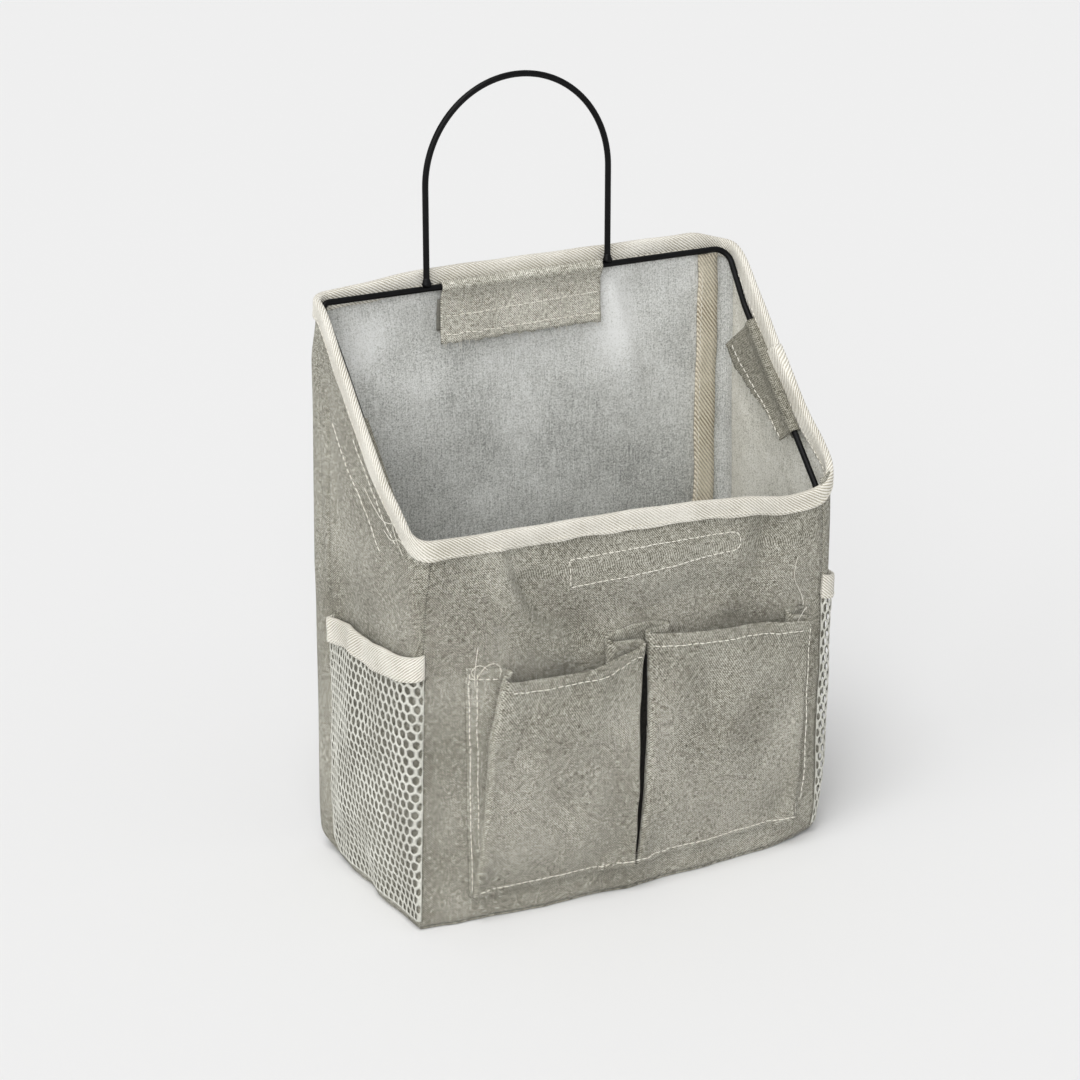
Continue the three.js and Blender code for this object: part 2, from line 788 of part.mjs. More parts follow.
// The net's points in its own plane: crossings two half pitches apart, and the corners of the gap in each cell.
function netTriangles() {
  const points = [];
  const places = new Map();
  const triangles = [];
  const low = netBottomHeight + netBorder;
  const high = Math.min(netBackHeight, netFrontHeight) - netTapeWidth;
  const halfPitchY = (netBackY - netFrontY - 2 * netBorder) / (2 * netGapsAcross);
  const halfPitchZ = (high - low) / (2 * netGapRows);
  const columns = 2 * netGapsAcross;
  const rows = 2 * netGapRows;
  const place = (y, z) => {
    const key = `${y.toFixed(4)},${z.toFixed(4)}`;
    if (!places.has(key)) {
      places.set(key, points.length);
      points.push(new THREE.Vector2(y, z));
    }
    return places.get(key);
  };
  const crossing = (i, j) => place(netFrontY + netBorder + i * halfPitchY, low + j * halfPitchZ);
  const quad = (a, b, c, d) => triangles.push([a, b, c], [a, c, d]);
  const gapShare = 1 - netStrand / Math.min(halfPitchY, halfPitchZ);

  const steps = [
    [1, 0],
    [0, 1],
    [-1, 0],
    [0, -1],
  ];
  for (let i = 0; i <= columns; i++) {
    for (let j = 0; j <= rows; j++) {
      if ((i + j) % 2 === 0) {
        continue;
      }
      const corners = steps
        .map(([di, dj]) => [i + di, j + dj])
        .filter(([ci, cj]) => ci >= 0 && ci <= columns && cj >= 0 && cj <= rows)
        .map(([ci, cj]) => crossing(ci, cj));
      if (corners.length < steps.length) {
        triangles.push(corners);
        continue;
      }
      const y = netFrontY + netBorder + i * halfPitchY;
      const z = low + j * halfPitchZ;
      const gap = steps.map(([di, dj]) => place(y + di * halfPitchY * gapShare, z + dj * halfPitchZ * gapShare));
      corners.forEach((corner, k) => quad(corner, corners[(k + 1) % 4], gap[(k + 1) % 4], gap[k]));
    }
  }

  // Solid borders, between the outermost crossings and the edges
  const edgeTop = (y) => netTop(y) - tapeThickness - netTapeSlack;
  const ys = spread(0, columns, netGapsAcross + 1).map((i) => netFrontY + netBorder + i * halfPitchY);
  const zs = spread(0, rows, netGapRows + 1).map((j) => low + j * halfPitchZ);
  const allY = [netFrontY, ...ys, netBackY];
  for (let i = 0; i + 1 < allY.length; i++) {
    const [y, nextY] = [allY[i], allY[i + 1]];
    quad(place(y, netBottomHeight), place(nextY, netBottomHeight), place(nextY, low), place(y, low));
    quad(place(y, high), place(nextY, high), place(nextY, edgeTop(nextY)), place(y, edgeTop(y)));
  }
  for (let j = 0; j + 1 < zs.length; j++) {
    const [z, nextZ] = [zs[j], zs[j + 1]];
    quad(place(netFrontY, z), place(ys[0], z), place(ys[0], nextZ), place(netFrontY, nextZ));
    quad(place(ys.at(-1), z), place(netBackY, z), place(netBackY, nextZ), place(ys.at(-1), nextZ));
  }
  return { points, triangles, edges: allY };
}

// A sheet of triangles gets its thickness: two faces, and a wall along each edge that has one triangle.
function sideNet(side) {
  const { points, triangles } = netTriangles();
  const count = points.length;
  const face = (through) =>
    points.map(({ x: y, y: z }) => new THREE.Vector3(side * (halfWidth + netOffset(y, z) + through), y, z));
  const vertices = [...face(-netThickness / 2), ...face(netThickness / 2)];
  const turning = triangles.map(([a, b, c]) => {
    const left = THREE.ShapeUtils.area([points[a], points[b], points[c]]) > 0;
    return left ? [a, b, c] : [a, c, b];
  });
  const directed = new Set();
  for (const [a, b, c] of turning) {
    directed.add(`${a},${b}`).add(`${b},${c}`).add(`${c},${a}`);
  }
  const index = turning.flatMap(([a, b, c]) => [a, c, b, count + a, count + b, count + c]);
  for (const edge of directed) {
    const [a, b] = edge.split(",").map(Number);
    if (!directed.has(`${b},${a}`)) {
      index.push(a, b, count + b, a, count + b, count + a);
    }
  }
  const geometry = new THREE.BufferGeometry().setFromPoints(vertices);
  geometry.setIndex(signedVolume(vertices, index) < 0 ? index.toReversed() : index);
  return swell(geometry);
}

function netBinding(side) {
  const inner = netThickness / 2 + netTapeSlack;
  const section = channelSection(inner, inner + tapeThickness, netTapeWidth - tapeThickness, tapeThickness);
  const rings = netTriangles().edges.map((y) => {
    const top = netTop(y) - tapeThickness;
    const x = side * (halfWidth + netOffset(y, top));
    return section.map(([across, above]) => new THREE.Vector3(x + across, y, top + above));
  });
  return swell(solidThroughRings(rings));
}

// The caddy
const caddy = new THREE.Group();
caddy.add(piece("bottom_panel", bottomPanel(), linen));
caddy.add(piece("front_panel", frontPanel(), linen));
caddy.add(piece("back_panel", uprightSheet(aroundBack), linen));
caddy.add(piece("left_panel", sidePanel(-1), linen));
caddy.add(piece("right_panel", sidePanel(1), linen));
caddy.add(piece("rim_binding", rimBinding(), cotton));
caddy.add(piece("back_left_seam_tape", seamTape(-1, 1), cotton));
caddy.add(piece("back_right_seam_tape", seamTape(1, 1), cotton));
caddy.add(piece("front_left_seam_tape", seamTape(-1, -1), cotton));
caddy.add(piece("front_right_seam_tape", seamTape(1, -1), cotton));
caddy.add(piece("bottom_seam_tape", bottomSeamTape(), cotton));
caddy.add(piece("rim_wire", rimWire(), blackWire));
caddy.add(piece("hanger_arch", hangerArch(), blackWire));
caddy.add(piece("left_weld", weldBead(-1), blackWire));
caddy.add(piece("right_weld", weldBead(1), blackWire));
caddy.add(flaps());
caddy.add(piece("front_pockets", frontPockets(), linen));
caddy.add(piece("left_net", sideNet(-1), netting));
caddy.add(piece("right_net", sideNet(1), netting));
caddy.add(piece("left_net_binding", netBinding(-1), cotton));
caddy.add(piece("right_net_binding", netBinding(1), cotton));

export default caddy;
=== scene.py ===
"""Bedside caddy: a sewn linen bag on a black wire frame. Lengths are in millimetres until a mesh is made."""
import math
from collections import namedtuple

import bmesh
import bpy
import numpy as np
from mathutils import Matrix, Vector


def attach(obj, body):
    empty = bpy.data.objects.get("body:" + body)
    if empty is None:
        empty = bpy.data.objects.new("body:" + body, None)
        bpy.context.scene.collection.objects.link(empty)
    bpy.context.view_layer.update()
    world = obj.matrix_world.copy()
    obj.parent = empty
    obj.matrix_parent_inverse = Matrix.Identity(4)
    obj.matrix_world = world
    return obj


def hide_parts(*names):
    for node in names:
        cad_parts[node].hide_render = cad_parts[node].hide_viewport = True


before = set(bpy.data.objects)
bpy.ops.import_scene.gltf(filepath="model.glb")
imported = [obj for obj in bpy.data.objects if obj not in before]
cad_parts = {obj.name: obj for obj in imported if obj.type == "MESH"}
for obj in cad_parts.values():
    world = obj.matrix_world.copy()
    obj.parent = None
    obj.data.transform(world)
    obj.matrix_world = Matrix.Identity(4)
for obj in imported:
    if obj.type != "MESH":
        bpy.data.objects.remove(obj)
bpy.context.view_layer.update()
MM = 0.001
rng = np.random.default_rng(7)

# Sizes, as in the CAD
WIDTH, DEPTH = 225.0, 100.0
HW, HD = WIDTH / 2, DEPTH / 2
CLOTH = 1.2
GAP = 0.3
BACK_HEIGHT, BACK_DROP, BACK_RADIUS = 285.0, 4.5, 8.0
FRONT_HEIGHT, FRONT_DIP = 190.0, 11.0
WALL_BASE = CLOTH + GAP
SEAM_Y = HD - BACK_RADIUS
BAR_OFFSET = 4.4
SIDE_BAR_X = HW - CLOTH - BAR_OFFSET
BACK_BAR_Y = HD - CLOTH - BAR_OFFSET
LEFT_PUSH = 2.5
BAR_X = {-1: -SIDE_BAR_X - LEFT_PUSH, 1: SIDE_BAR_X}
BACK_BAR_Z, FRONT_BAR_Z, KNEE_Z, KNEE_Y = 278.0, 174.5, 252.5, 27.0
WIRE_R = 1.5
ARCH_X, ARCH_SPAN, ARCH_HEIGHT = -9.5, 97.0, 98.0
RIM_RADIUS = 9.5

# The rim's fall as shares: of the depth from back to front on the sides, of the width on the front.
SIDE_RIM = [(0, 0), (0.06, 0.008), (0.14, 0.045), (0.3, 0.235), (0.58, 0.595)]
SIDE_RIM += [(0.72, 0.75), (0.88, 0.885), (0.97, 1), (1, 1)]
FRONT_RIM = [(0, 0), (0.06, 0.12), (0.3, 0.22), (0.5, 0.29), (0.66, 0.45)]
FRONT_RIM += [(0.78, 0.65), (0.88, 1), (0.96, 0.85), (1, 0.3)]


def smooth_table(table, width=0.025, count=801):
    """A table of shares as two dense arrays, with its kinks rounded."""
    at = np.linspace(0, 1, count)
    values = np.interp(at, *zip(*table))
    reach = int(3 * width * count)
    kernel = np.exp(-0.5 * (np.arange(-reach, reach + 1) / (width * count)) ** 2)
    ends = [2 * values[0] - values[reach:0:-1], values, 2 * values[-1] - values[-2 : -reach - 2 : -1]]
    return at, np.convolve(np.concatenate(ends), kernel / kernel.sum(), "valid")


SIDE_CURVE = smooth_table(SIDE_RIM, 0.035)
FRONT_CURVE = smooth_table(FRONT_RIM)


def ease(value, low=0.0, high=1.0):
    """A smooth step from 0 at low to 1 at high."""
    t = np.clip((value - low) / (high - low), 0, 1)
    return t * t * (3 - 2 * t)


def hill(distance, reach):
    """A bell, 1 where the distance is 0."""
    return np.exp(-((distance / reach) ** 2))


def front_rim(x):
    return FRONT_HEIGHT - FRONT_DIP * np.interp((x + HW) / WIDTH, *FRONT_CURVE)


def side_rim(y, side):
    corner = BACK_HEIGHT - BACK_DROP
    drop = corner - front_rim(side * HW)
    return corner - drop * np.interp((HD - y) / DEPTH, *SIDE_CURVE)


def back_rim(x):
    reach = np.where(x < 0, 62, 24)
    return BACK_HEIGHT - BACK_DROP * (1 - ease((HW - np.abs(x)) / reach))


def ripple(a, b, length, seed, count=9):
    """Smooth wrinkles over two coordinates, about 1 high, of about that length."""
    source = np.random.default_rng(seed)
    total = 0
    for _ in range(count):
        angle, phase = source.uniform(0, 2 * math.pi, 2)
        k = 2 * math.pi / (length * source.uniform(0.7, 1.5))
        total = total + np.sin(k * (a * math.cos(angle) + b * math.sin(angle)) + phase)
    return total / math.sqrt(count)


def mounds(a, b, rows):
    """Soft mounds and hollows over two coordinates. A row is a height, a centre and its reach."""
    return sum(height * hill(a - ca, ra) * hill(b - cb, rb) for height, ca, cb, ra, rb in rows)


def to_line(x, z, line):
    """Signed distance to a line of points, positive to its left, and the share of its length there."""
    best = np.full(np.shape(x), 1e9)
    side = np.zeros(np.shape(x))
    share = np.zeros(np.shape(x))
    for i, (a, b) in enumerate(zip(line[:-1], line[1:])):
        run = b - a
        t = np.clip(((x - a[0]) * run[0] + (z - a[1]) * run[1]) / (run @ run), 0, 1)
        dx, dz = x - a[0] - t * run[0], z - a[1] - t * run[1]
        d = np.hypot(dx, dz)
        near = d < best
        best = np.where(near, d, best)
        side = np.where(near, np.sign(run[0] * dz - run[1] * dx), side)
        share = np.where(near, (i + t) / (len(line) - 1), share)
    return best * side, share


# Folds of the front: a crescent valley with a lip below it, and a short ridge beside it
CRESCENT = np.array(
    [(-62, 186), (-61, 177), (-59.5, 169), (-56.5, 161), (-51.6, 152)]
    + [(-45.5, 143.5), (-38, 136.5), (-28.6, 130.5), (-17, 126), (-6, 123)]
)
CRESCENT_DEPTH, CRESCENT_LEFT_REACH, CRESCENT_RIGHT_REACH = 6.5, 12, 3.6
LIP_HEIGHT, LIP_OFFSET, LIP_REACH = 1.8, 10, 5
BAR_CLEAR_DEPTH, FREE_DEPTH, BAR_CLEAR_FROM, BAR_CLEAR_TO = 1.8, 5.0, 160, 170
STREAK = np.array([(-50.5, 178), (-48.5, 170), (-45.5, 162), (-42, 153)])
STREAK_HEIGHT, STREAK_REACH = 2.2, 3
FRONT_MOUNDS = [(2.4, 8, 162, 48, 15), (-3.4, 33, 141, 26, 8), (-3.2, 72, 158, 8, 15)]
FRONT_MOUNDS += [(1.6, -78, 138, 20, 22), (-1.2, -90, 60, 12, 40), (1.5, 90, 150, 14, 14)]


def front_relief(x, z):
    """How far the front stands out, from its folds."""
    below = 1 - ease(z - front_rim(x), -9, -4)
    d, share = to_line(x, z, CRESCENT)
    valley = -CRESCENT_DEPTH * hill(d, np.where(d > 0, CRESCENT_LEFT_REACH, CRESCENT_RIGHT_REACH))
    valley = valley + LIP_HEIGHT * hill(d + LIP_OFFSET, LIP_REACH)
    valley = valley * ease(share, -0.3, 0.05) * (1 - ease(share, 0.72, 1))
    # The valley is shallow beside the front bar, so that the cloth clears the wire.
    deepest = BAR_CLEAR_DEPTH + FREE_DEPTH * (1 - ease(z, BAR_CLEAR_FROM, BAR_CLEAR_TO))
    valley = np.maximum(valley, -deepest)
    d, share = to_line(x, z, STREAK)
    ridge = STREAK_HEIGHT * hill(d, STREAK_REACH) * (1 - ease(share, 0.6, 1))
    wrinkles = 0.6 * ripple(x, z, 34, 3) + 0.2 * ripple(x, z, 13, 4)
    return below * (valley + ridge + mounds(x, z, FRONT_MOUNDS) + wrinkles)


LEFT_MOUNDS = [(-2.0, 12, 150, 9, 34), (1.4, -14, 158, 12, 26), (1.2, 30, 190, 10, 40)]


def side_relief(y, z, side):
    """How far a side wall stands in, from its waves."""
    below = 1 - ease(z - side_rim(y, side), -26, -9)
    waves = 0.7 * ripple(y, 0.35 * z, 30, 5 + side) + 0.15 * ripple(y, z, 12, 8 + side)
    if side < 0:
        waves = waves + mounds(y, z, LEFT_MOUNDS)
    return below * waves


BACK_FOLD = np.array([(40, 276), (44, 262), (50, 244), (57, 222), (62, 200), (64, 180)])
BACK_FOLD_DEPTH, BACK_FOLD_REACH = 2.4, 5
BACK_MOUNDS = [(1.6, -60, 250, 22, 18), (1.8, 62, 262, 10, 16), (-1.2, -78, 215, 12, 50)]


def back_relief(x, z):
    """How far the back stands out, from its fold under the rim."""
    below = 1 - ease(z - back_rim(x), -24, -9)
    d, share = to_line(x, z, BACK_FOLD)
    fold = -BACK_FOLD_DEPTH * hill(d, BACK_FOLD_REACH) * (1 - ease(share, 0.4, 1))
    wrinkles = 0.8 * ripple(x, 0.5 * z, 60, 11) + 0.15 * ripple(x, z, 14, 12)
    return below * (fold + mounds(x, z, BACK_MOUNDS) + wrinkles)


# How the walls hang. Each table is a place along the wall or up it, and a distance there.
LEFT_BOW = (
    [-50, -46, -38, -28, -11, 6, 22, 34, 44, 50],
    [0.5, 0, -1.4, -2.0, -2.2, -2.7, -3.1, -2.8, -2.5, -2],
)
RIGHT_BOW = ([-50, -45, -25, -9, 8, 24, 44, 50], [0, 0.3, 0, -0.4, -1.5, -1.9, -2.0, -2])
FRONT_BELLY, SIDE_BELLY = 8, 0.5
# The back's two lower corners: the middle in x, where they start and end in y, and the puff in x and y
CORNER_PUFFS = [(-110, 41, 50, -4.6, 6.2), (110, 38, 49, 1.5, 3.0)]
PUFF_REACH = 16
PUFF_BY_HEIGHT = ([15, 110, 230], [1.12, 1.0, 0.62])
# The seam in front of the left back corner is drawn in, with a crease before it higher up.
GROOVE_BY_HEIGHT = ([10, 30, 75, 100, 125, 150, 187, 212, 245], [0, 0.9, 1.6, 3.4, 5.4, 6.6, 7.0, 3.0, 0])
GROOVE_FRONT_REACH, GROOVE_BACK_REACH = 1.5, 2.6
GROOVE_LIP_SHARE, GROOVE_LIP_OFFSET, GROOVE_LIP_REACH = 0.2, 5, 3.5
SEAM_SHIFT = ([10, 60, 100, 132, 150], [2, 5, 8, 9, 0])
SEAM_FRONT_REACH, SEAM_BACK_REACH = 15, 4.5
CREASE_STEP, CREASE_FROM, CREASE_TO = 8.5, 132, 150
LEAN, LEAN_BELOW, LEAN_HEIGHT = 3.2, 175, 120
ROLL, ROLL_HEIGHT = 1.5, 6
# The bottom's corners that lift: their side in x and y, their reach in x and y, and the lift
LIFTED_CORNERS = [(1, -1, 20, 24, 1.6), (-1, 1, 16, 22, 0.6)]
LIFT_IN, LIFT_HEIGHT = 1.5, 26


def belly(share):
    return 1 - ease(share, 0, 0.8)


def drape(p):
    """Where a point of the plain box-shaped bag lies on the hanging one."""
    p = np.asarray(p, float)
    x, y, z = p[..., 0], p[..., 1], p[..., 2]
    u, v = x / HW, y / HD
    end = np.where(y < 0, front_rim(x), back_rim(x))
    left_share, right_share = z / side_rim(y, -1), z / side_rim(y, 1)
    to_left, to_right = ease(-u, 0.55, 0.985), ease(u, 0.55, 0.985)
    to_front, to_back = ease(-v, 0.6, 0.97), ease(v, 0.6, 0.97)
    out_x = x + SIDE_BELLY * u * belly(np.where(x < 0, left_share, right_share))
    out_y = y + v * FRONT_BELLY * belly(z / end) * np.clip(1 - np.clip(u, -1, 1) ** 2, 0, 1)
    out_x = out_x + to_left * np.interp(y, *LEFT_BOW) * (0.3 + 0.7 * ease(left_share, 0.1, 0.85))
    out_x = out_x + to_right * np.interp(y, *RIGHT_BOW) * ease(right_share, 0.45, 0.95)
    between = (1 - to_front) * (1 - to_back)
    out_x = out_x + (to_right * side_relief(y, z, 1) - to_left * side_relief(y, z, -1)) * between
    off_edge = 1 - ease(np.abs(u), 0.93, 1)
    out_y = out_y + (to_back * back_relief(x, z) - to_front * front_relief(x, z)) * off_edge
    puff_height = ease(z, -4, 10) * (1 - ease(z, 248, 278)) * np.interp(z, *PUFF_BY_HEIGHT)
    for middle, start, full, puff_x, puff_y in CORNER_PUFFS:
        puff = hill(x - middle, PUFF_REACH) * ease(y, start, full) * puff_height
        out_x = out_x + puff_x * puff
        out_y = out_y + puff_y * puff
    deep = np.interp(z, *GROOVE_BY_HEIGHT)
    behind = y - SEAM_Y + CREASE_STEP * ease(z, CREASE_FROM, CREASE_TO)
    groove = deep * hill(behind, np.where(behind < 0, GROOVE_FRONT_REACH, GROOVE_BACK_REACH))
    groove = groove - GROOVE_LIP_SHARE * deep * hill(behind + GROOVE_LIP_OFFSET, GROOVE_LIP_REACH)
    seam_reach = np.where(y < SEAM_Y, SEAM_FRONT_REACH, SEAM_BACK_REACH)
    on_left_wall = ease(-u, 0.9, 1)
    out_x = out_x + groove * on_left_wall
    out_y = out_y - np.interp(z, *SEAM_SHIFT) * hill(y - SEAM_Y, seam_reach) * on_left_wall
    # The front's right corner leans in below the pockets' tops.
    out_x = out_x - LEAN * to_right * ease(-v, 0.4, 1) * ease(LEAN_BELOW - z, 0, LEAN_HEIGHT)
    # The foot of the walls rolls in, and two corners of the bottom lift a little.
    roll = ROLL * np.clip(1 - z / ROLL_HEIGHT, 0, 1) ** 2
    out_x = out_x - np.sign(x) * roll * ease(np.abs(u), 0.8, 1)
    out_y = out_y - np.sign(y) * roll * ease(np.abs(v), 0.8, 1)
    out_z = z
    for side_x, side_y, reach_x, reach_y, rise in LIFTED_CORNERS:
        lift = hill(x - side_x * HW, reach_x) * hill(y - side_y * HD, reach_y)
        lift = lift * np.clip(1 - z / LIFT_HEIGHT, 0, 1) ** 2
        out_x = out_x - side_x * LIFT_IN * lift
        out_y = out_y - side_y * LIFT_IN * lift
        out_z = out_z + rise * lift
    return np.stack([out_x, out_y, out_z], -1)


# Materials
def srgb(*color):
    """A colour of three values up to 255, as Blender's linear one."""
    return tuple(((c / 255 + 0.055) / 1.055) ** 2.4 if c > 10 else c / 255 / 12.92 for c in color) + (1.0,)


class Nodes:
    """Short calls for a material's nodes."""

    def __init__(self, name):
        self.material = bpy.data.materials.new(name)
        self.material.use_nodes = True
        self.tree = self.material.node_tree
        self.shader = self.tree.nodes["Principled BSDF"]

    def new(self, kind, **settings):
        node = self.tree.nodes.new(kind)
        for key, value in settings.items():
            setattr(node, key, value)
        return node

    def put(self, socket, value):
        if isinstance(value, bpy.types.NodeSocket):
            self.tree.links.new(value, socket)
        else:
            socket.default_value = value

    def math(self, operation, a, b=0.0, c=0.0, clamp=False):
        node = self.new("ShaderNodeMath", operation=operation, use_clamp=clamp)
        for socket, value in zip(node.inputs, (a, b, c)):
            self.put(socket, value)
        return node.outputs[0]

    def vary(self, value, amount, total, middle=0.5, clamp=False):
        """Adds a value's departure from its middle to a total."""
        return self.math("MULTIPLY_ADD", self.math("SUBTRACT", value, middle), amount, total, clamp)

    def scaled(self, value, factor):
        return self.math("MULTIPLY", value, factor)

    def wave(self, value, pitch):
        return self.math("SINE", self.scaled(value, 2 * math.pi / pitch))

    def vector_math(self, operation, a, b):
        node = self.new("ShaderNodeVectorMath", operation=operation)
        self.put(node.inputs[0], a)
        if b is not None:
            self.put(node.inputs[1], b)
        return node

    def uv(self):
        """Millimetres along and across the cloth."""
        return self.split(self.new("ShaderNodeUVMap", uv_map="weave").outputs[0])[:2]

    def split(self, vector):
        node = self.new("ShaderNodeSeparateXYZ")
        self.put(node.inputs[0], vector)
        return node.outputs

    def vector(self, x, y, z=0.0):
        node = self.new("ShaderNodeCombineXYZ")
        for socket, value in zip(node.inputs, (x, y, z)):
            self.put(socket, value)
        return node.outputs[0]

    def stretched(self, uv, along, across, offset=0.0):
        """The cloth's millimetres, drawn out by different factors for fibres along one thread."""
        return self.vector(self.scaled(uv[0], along), self.scaled(uv[1], across), offset)

    def noise(self, vector, scale, detail=2.0, roughness=0.5):
        node = self.new("ShaderNodeTexNoise")
        self.put(node.inputs["Vector"], vector)
        for key, value in (("Scale", scale), ("Detail", detail), ("Roughness", roughness)):
            node.inputs[key].default_value = value
        return node.outputs["Fac"]

    def place(self):
        """The point in millimetres."""
        node = self.new("ShaderNodeVectorMath", operation="SCALE")
        self.put(node.inputs[0], self.new("ShaderNodeNewGeometry").outputs["Position"])
        node.inputs["Scale"].default_value = 1 / MM
        return node.outputs[0]

    def smooth_range(self, value, low, high, start, end):
        """A smooth step from start at low to end at high."""
        node = self.new("ShaderNodeMapRange", interpolation_type="SMOOTHSTEP")
        self.put(node.inputs[0], value)
        for socket, number in zip(node.inputs[1:5], (low, high, start, end)):
            socket.default_value = number
        return node.outputs[0]

    def ramp(self, value, stops):
        node = self.new("ShaderNodeValToRGB")
        self.put(node.inputs[0], value)
        ramp = node.color_ramp
        while len(ramp.elements) < len(stops):
            ramp.elements.new(0.5)
        for element, (at, color) in zip(ramp.elements, stops):
            element.position = at
            element.color = color
        return node.outputs["Color"]

    def bump(self, height, distance, strength=1.0):
        node = self.new("ShaderNodeBump")
        self.put(node.inputs["Height"], height)
        node.inputs["Distance"].default_value = distance * MM
        node.inputs["Strength"].default_value = strength
        self.put(self.shader.inputs["Normal"], node.outputs[0])

    def finish(self, color, roughness, **sockets):
        self.put(self.shader.inputs["Base Color"], color)
        self.put(self.shader.inputs["Roughness"], roughness)
        for key, value in sockets.items():
            self.put(self.shader.inputs[key.replace("_", " ")], value)
        return self.material


def threads(n, uv, pitch):
    """Two crossing sets of threads, from 0 to 1."""
    crossed = n.math("MULTIPLY", n.wave(uv[0], pitch), n.wave(uv[1], pitch))
    return n.math("MULTIPLY_ADD", crossed, 0.5, 0.5)


def woven(name, dark, base, light, patches=0.5):
    """Linen: slubs along both threads, specks, the weave itself and slow cloudy patches."""
    n = Nodes(name)
    uv = n.uv()
    weave = threads(n, uv, 1.15)
    total = n.vary(n.noise(n.stretched(uv, 1.7, 0.35), 1.0, 2.0, 0.6), 1.0, 0.5)
    total = n.vary(n.noise(n.stretched(uv, 0.35, 1.7, 7.0), 1.0, 2.0, 0.6), 1.0, total)
    total = n.vary(n.noise(n.vector(*uv, 3.0), 1.5, 2.0, 0.6), 1.1, total)
    total = n.vary(weave, 0.75, total)
    total = n.vary(n.noise(n.place(), 0.022, 2.0, 0.5), patches, total, clamp=True)
    n.bump(n.math("ADD", n.scaled(weave, 0.6), total), 0.28, 0.7)
    color = n.ramp(total, [(0.12, dark), (0.5, base), (0.88, light)])
    return n.finish(color, 0.95, Sheen_Weight=0.08, Sheen_Roughness=0.6, Specular_IOR_Level=0.2)


# Painted light on the coating, for lit creases and a highlight by the back flap's end: the middle, the reach
# and the strength
PAINTED_LIGHT_PATCHES = [
    ((-90, 48, 254), (16, 25, 20), 0.34),
    ((-60, 48, 232), (12, 25, 14), 0.22),
    ((46, 48, 250), (12, 25, 26), 0.4),
    ((-7, 48, 205), (14, 25, 18), 0.26),
    ((-10, 48, 236), (40, 25, 12), 0.12),
]
# Painted shade by height: the coating is darker low in the bag and paler near the rim, between these two
# heights.
COATING_PAINTED_DEPTH_SHADE = (120.0, 270.0, -0.05, 0.12)


def coated(name, dark, base, light, top):
    """The bag's inside: a silvery coating that lets the weave show, with cloudy tone, painted light patches
    and painted shade lower down.
    """
    n = Nodes(name)
    uv = n.uv()
    place = n.place()
    # The coating's cloudy tone, with painted shade by height and painted light patches added on.
    cloud_painted_light_and_shade = n.vary(n.noise(place, 0.03, 3.0, 0.55), 0.6, n.smooth_range(n.split(place)[2], *COATING_PAINTED_DEPTH_SHADE))
    for centre, reach, strength in PAINTED_LIGHT_PATCHES:
        share = n.vector_math("DIVIDE", n.vector_math("SUBTRACT", place, centre).outputs[0], reach).outputs[0]
        distance = n.vector_math("LENGTH", share, None).outputs["Value"]
        cloud_painted_light_and_shade = n.math("ADD", cloud_painted_light_and_shade, n.smooth_range(distance, 0.0, 1.6, strength, 0.0))
    total = n.vary(n.noise(n.stretched(uv, 1.5, 0.07), 1.0, 3.0, 0.6), 0.8, 0.42)
    total = n.vary(n.noise(n.stretched(uv, 0.2, 1.7, 5.0), 1.0, 3.0, 0.6), 0.3, total)
    total = n.vary(n.noise(n.vector(*uv, 9.0), 1.5, 3.0, 0.75), 2.6, total)
    total = n.math("ADD", total, cloud_painted_light_and_shade, clamp=True)
    n.bump(n.math("ADD", threads(n, uv, 0.62), total), 0.2, 0.6)
    color = n.ramp(total, [(0.0, dark), (0.45, base), (0.8, light), (1.0, top)])
    return n.finish(color, 0.62, Specular_IOR_Level=0.35, Sheen_Weight=0.05)


TWILL_SLANT, TWILL_CROSS_PITCH = 0.62, 0.55


def twill(name, dark, light, pitch):
    """Tape: slanting ribs with a fine cross thread, fuzz and faint stains."""
    n = Nodes(name)
    u, v = n.uv()
    wobble = n.noise(n.vector(u, v), 0.35, 2.0)
    along = n.math("MULTIPLY_ADD", wobble, 0.5, n.scaled(u, math.sin(TWILL_SLANT)))
    slanting = n.math("MULTIPLY_ADD", v, math.cos(TWILL_SLANT), along)
    ribs = n.math("MULTIPLY_ADD", n.wave(slanting, pitch), 0.5, 0.5)
    cross = n.math("MULTIPLY_ADD", n.wave(u, TWILL_CROSS_PITCH), 0.5, 0.5)
    fuzz = n.noise(n.vector(u, v, 2.0), 1.6, 3.0, 0.7)
    total = n.math("MULTIPLY_ADD", ribs, 0.55, n.scaled(cross, 0.12))
    total = n.vary(fuzz, 0.6, total)
    total = n.vary(n.noise(n.place(), 0.05, 2.0), 0.55, total, middle=0.35, clamp=True)
    n.bump(n.math("MULTIPLY_ADD", fuzz, 0.4, ribs), 0.45, 0.9)
    color = n.ramp(total, [(0.08, dark), (0.42, light)])
    return n.finish(color, 0.92, Sheen_Weight=0.1, Specular_IOR_Level=0.2)


def yarn(name, dark, light, scale=2.2, roughness=0.9):
    """Thread and netting: fine fibres that vary a little in colour."""
    n = Nodes(name)
    place = n.place()
    fibre = n.noise(place, scale, 3.0, 0.7)
    total = n.vary(n.noise(place, 0.06, 2.0), 0.6, fibre, clamp=True)
    n.bump(fibre, 0.12, 0.6)
    color = n.ramp(total, [(0.25, dark), (0.75, light)])
    return n.finish(color, roughness, Sheen_Weight=0.08, Specular_IOR_Level=0.25)


def enamel():
    """Satin black coating on wire, with faint orange peel and rubbed spots."""
    n = Nodes("black_enamel")
    place = n.place()
    spots = n.noise(place, 0.22, 4.0, 0.7)
    n.bump(n.noise(place, 0.9, 3.0, 0.6), 0.08, 0.5)
    color = n.ramp(spots, [(0.45, srgb(7, 7, 8)), (0.66, srgb(13, 13, 15)), (0.74, srgb(34, 34, 40))])
    return n.finish(color, n.math("MULTIPLY_ADD", spots, 0.25, 0.3), Specular_IOR_Level=0.16)


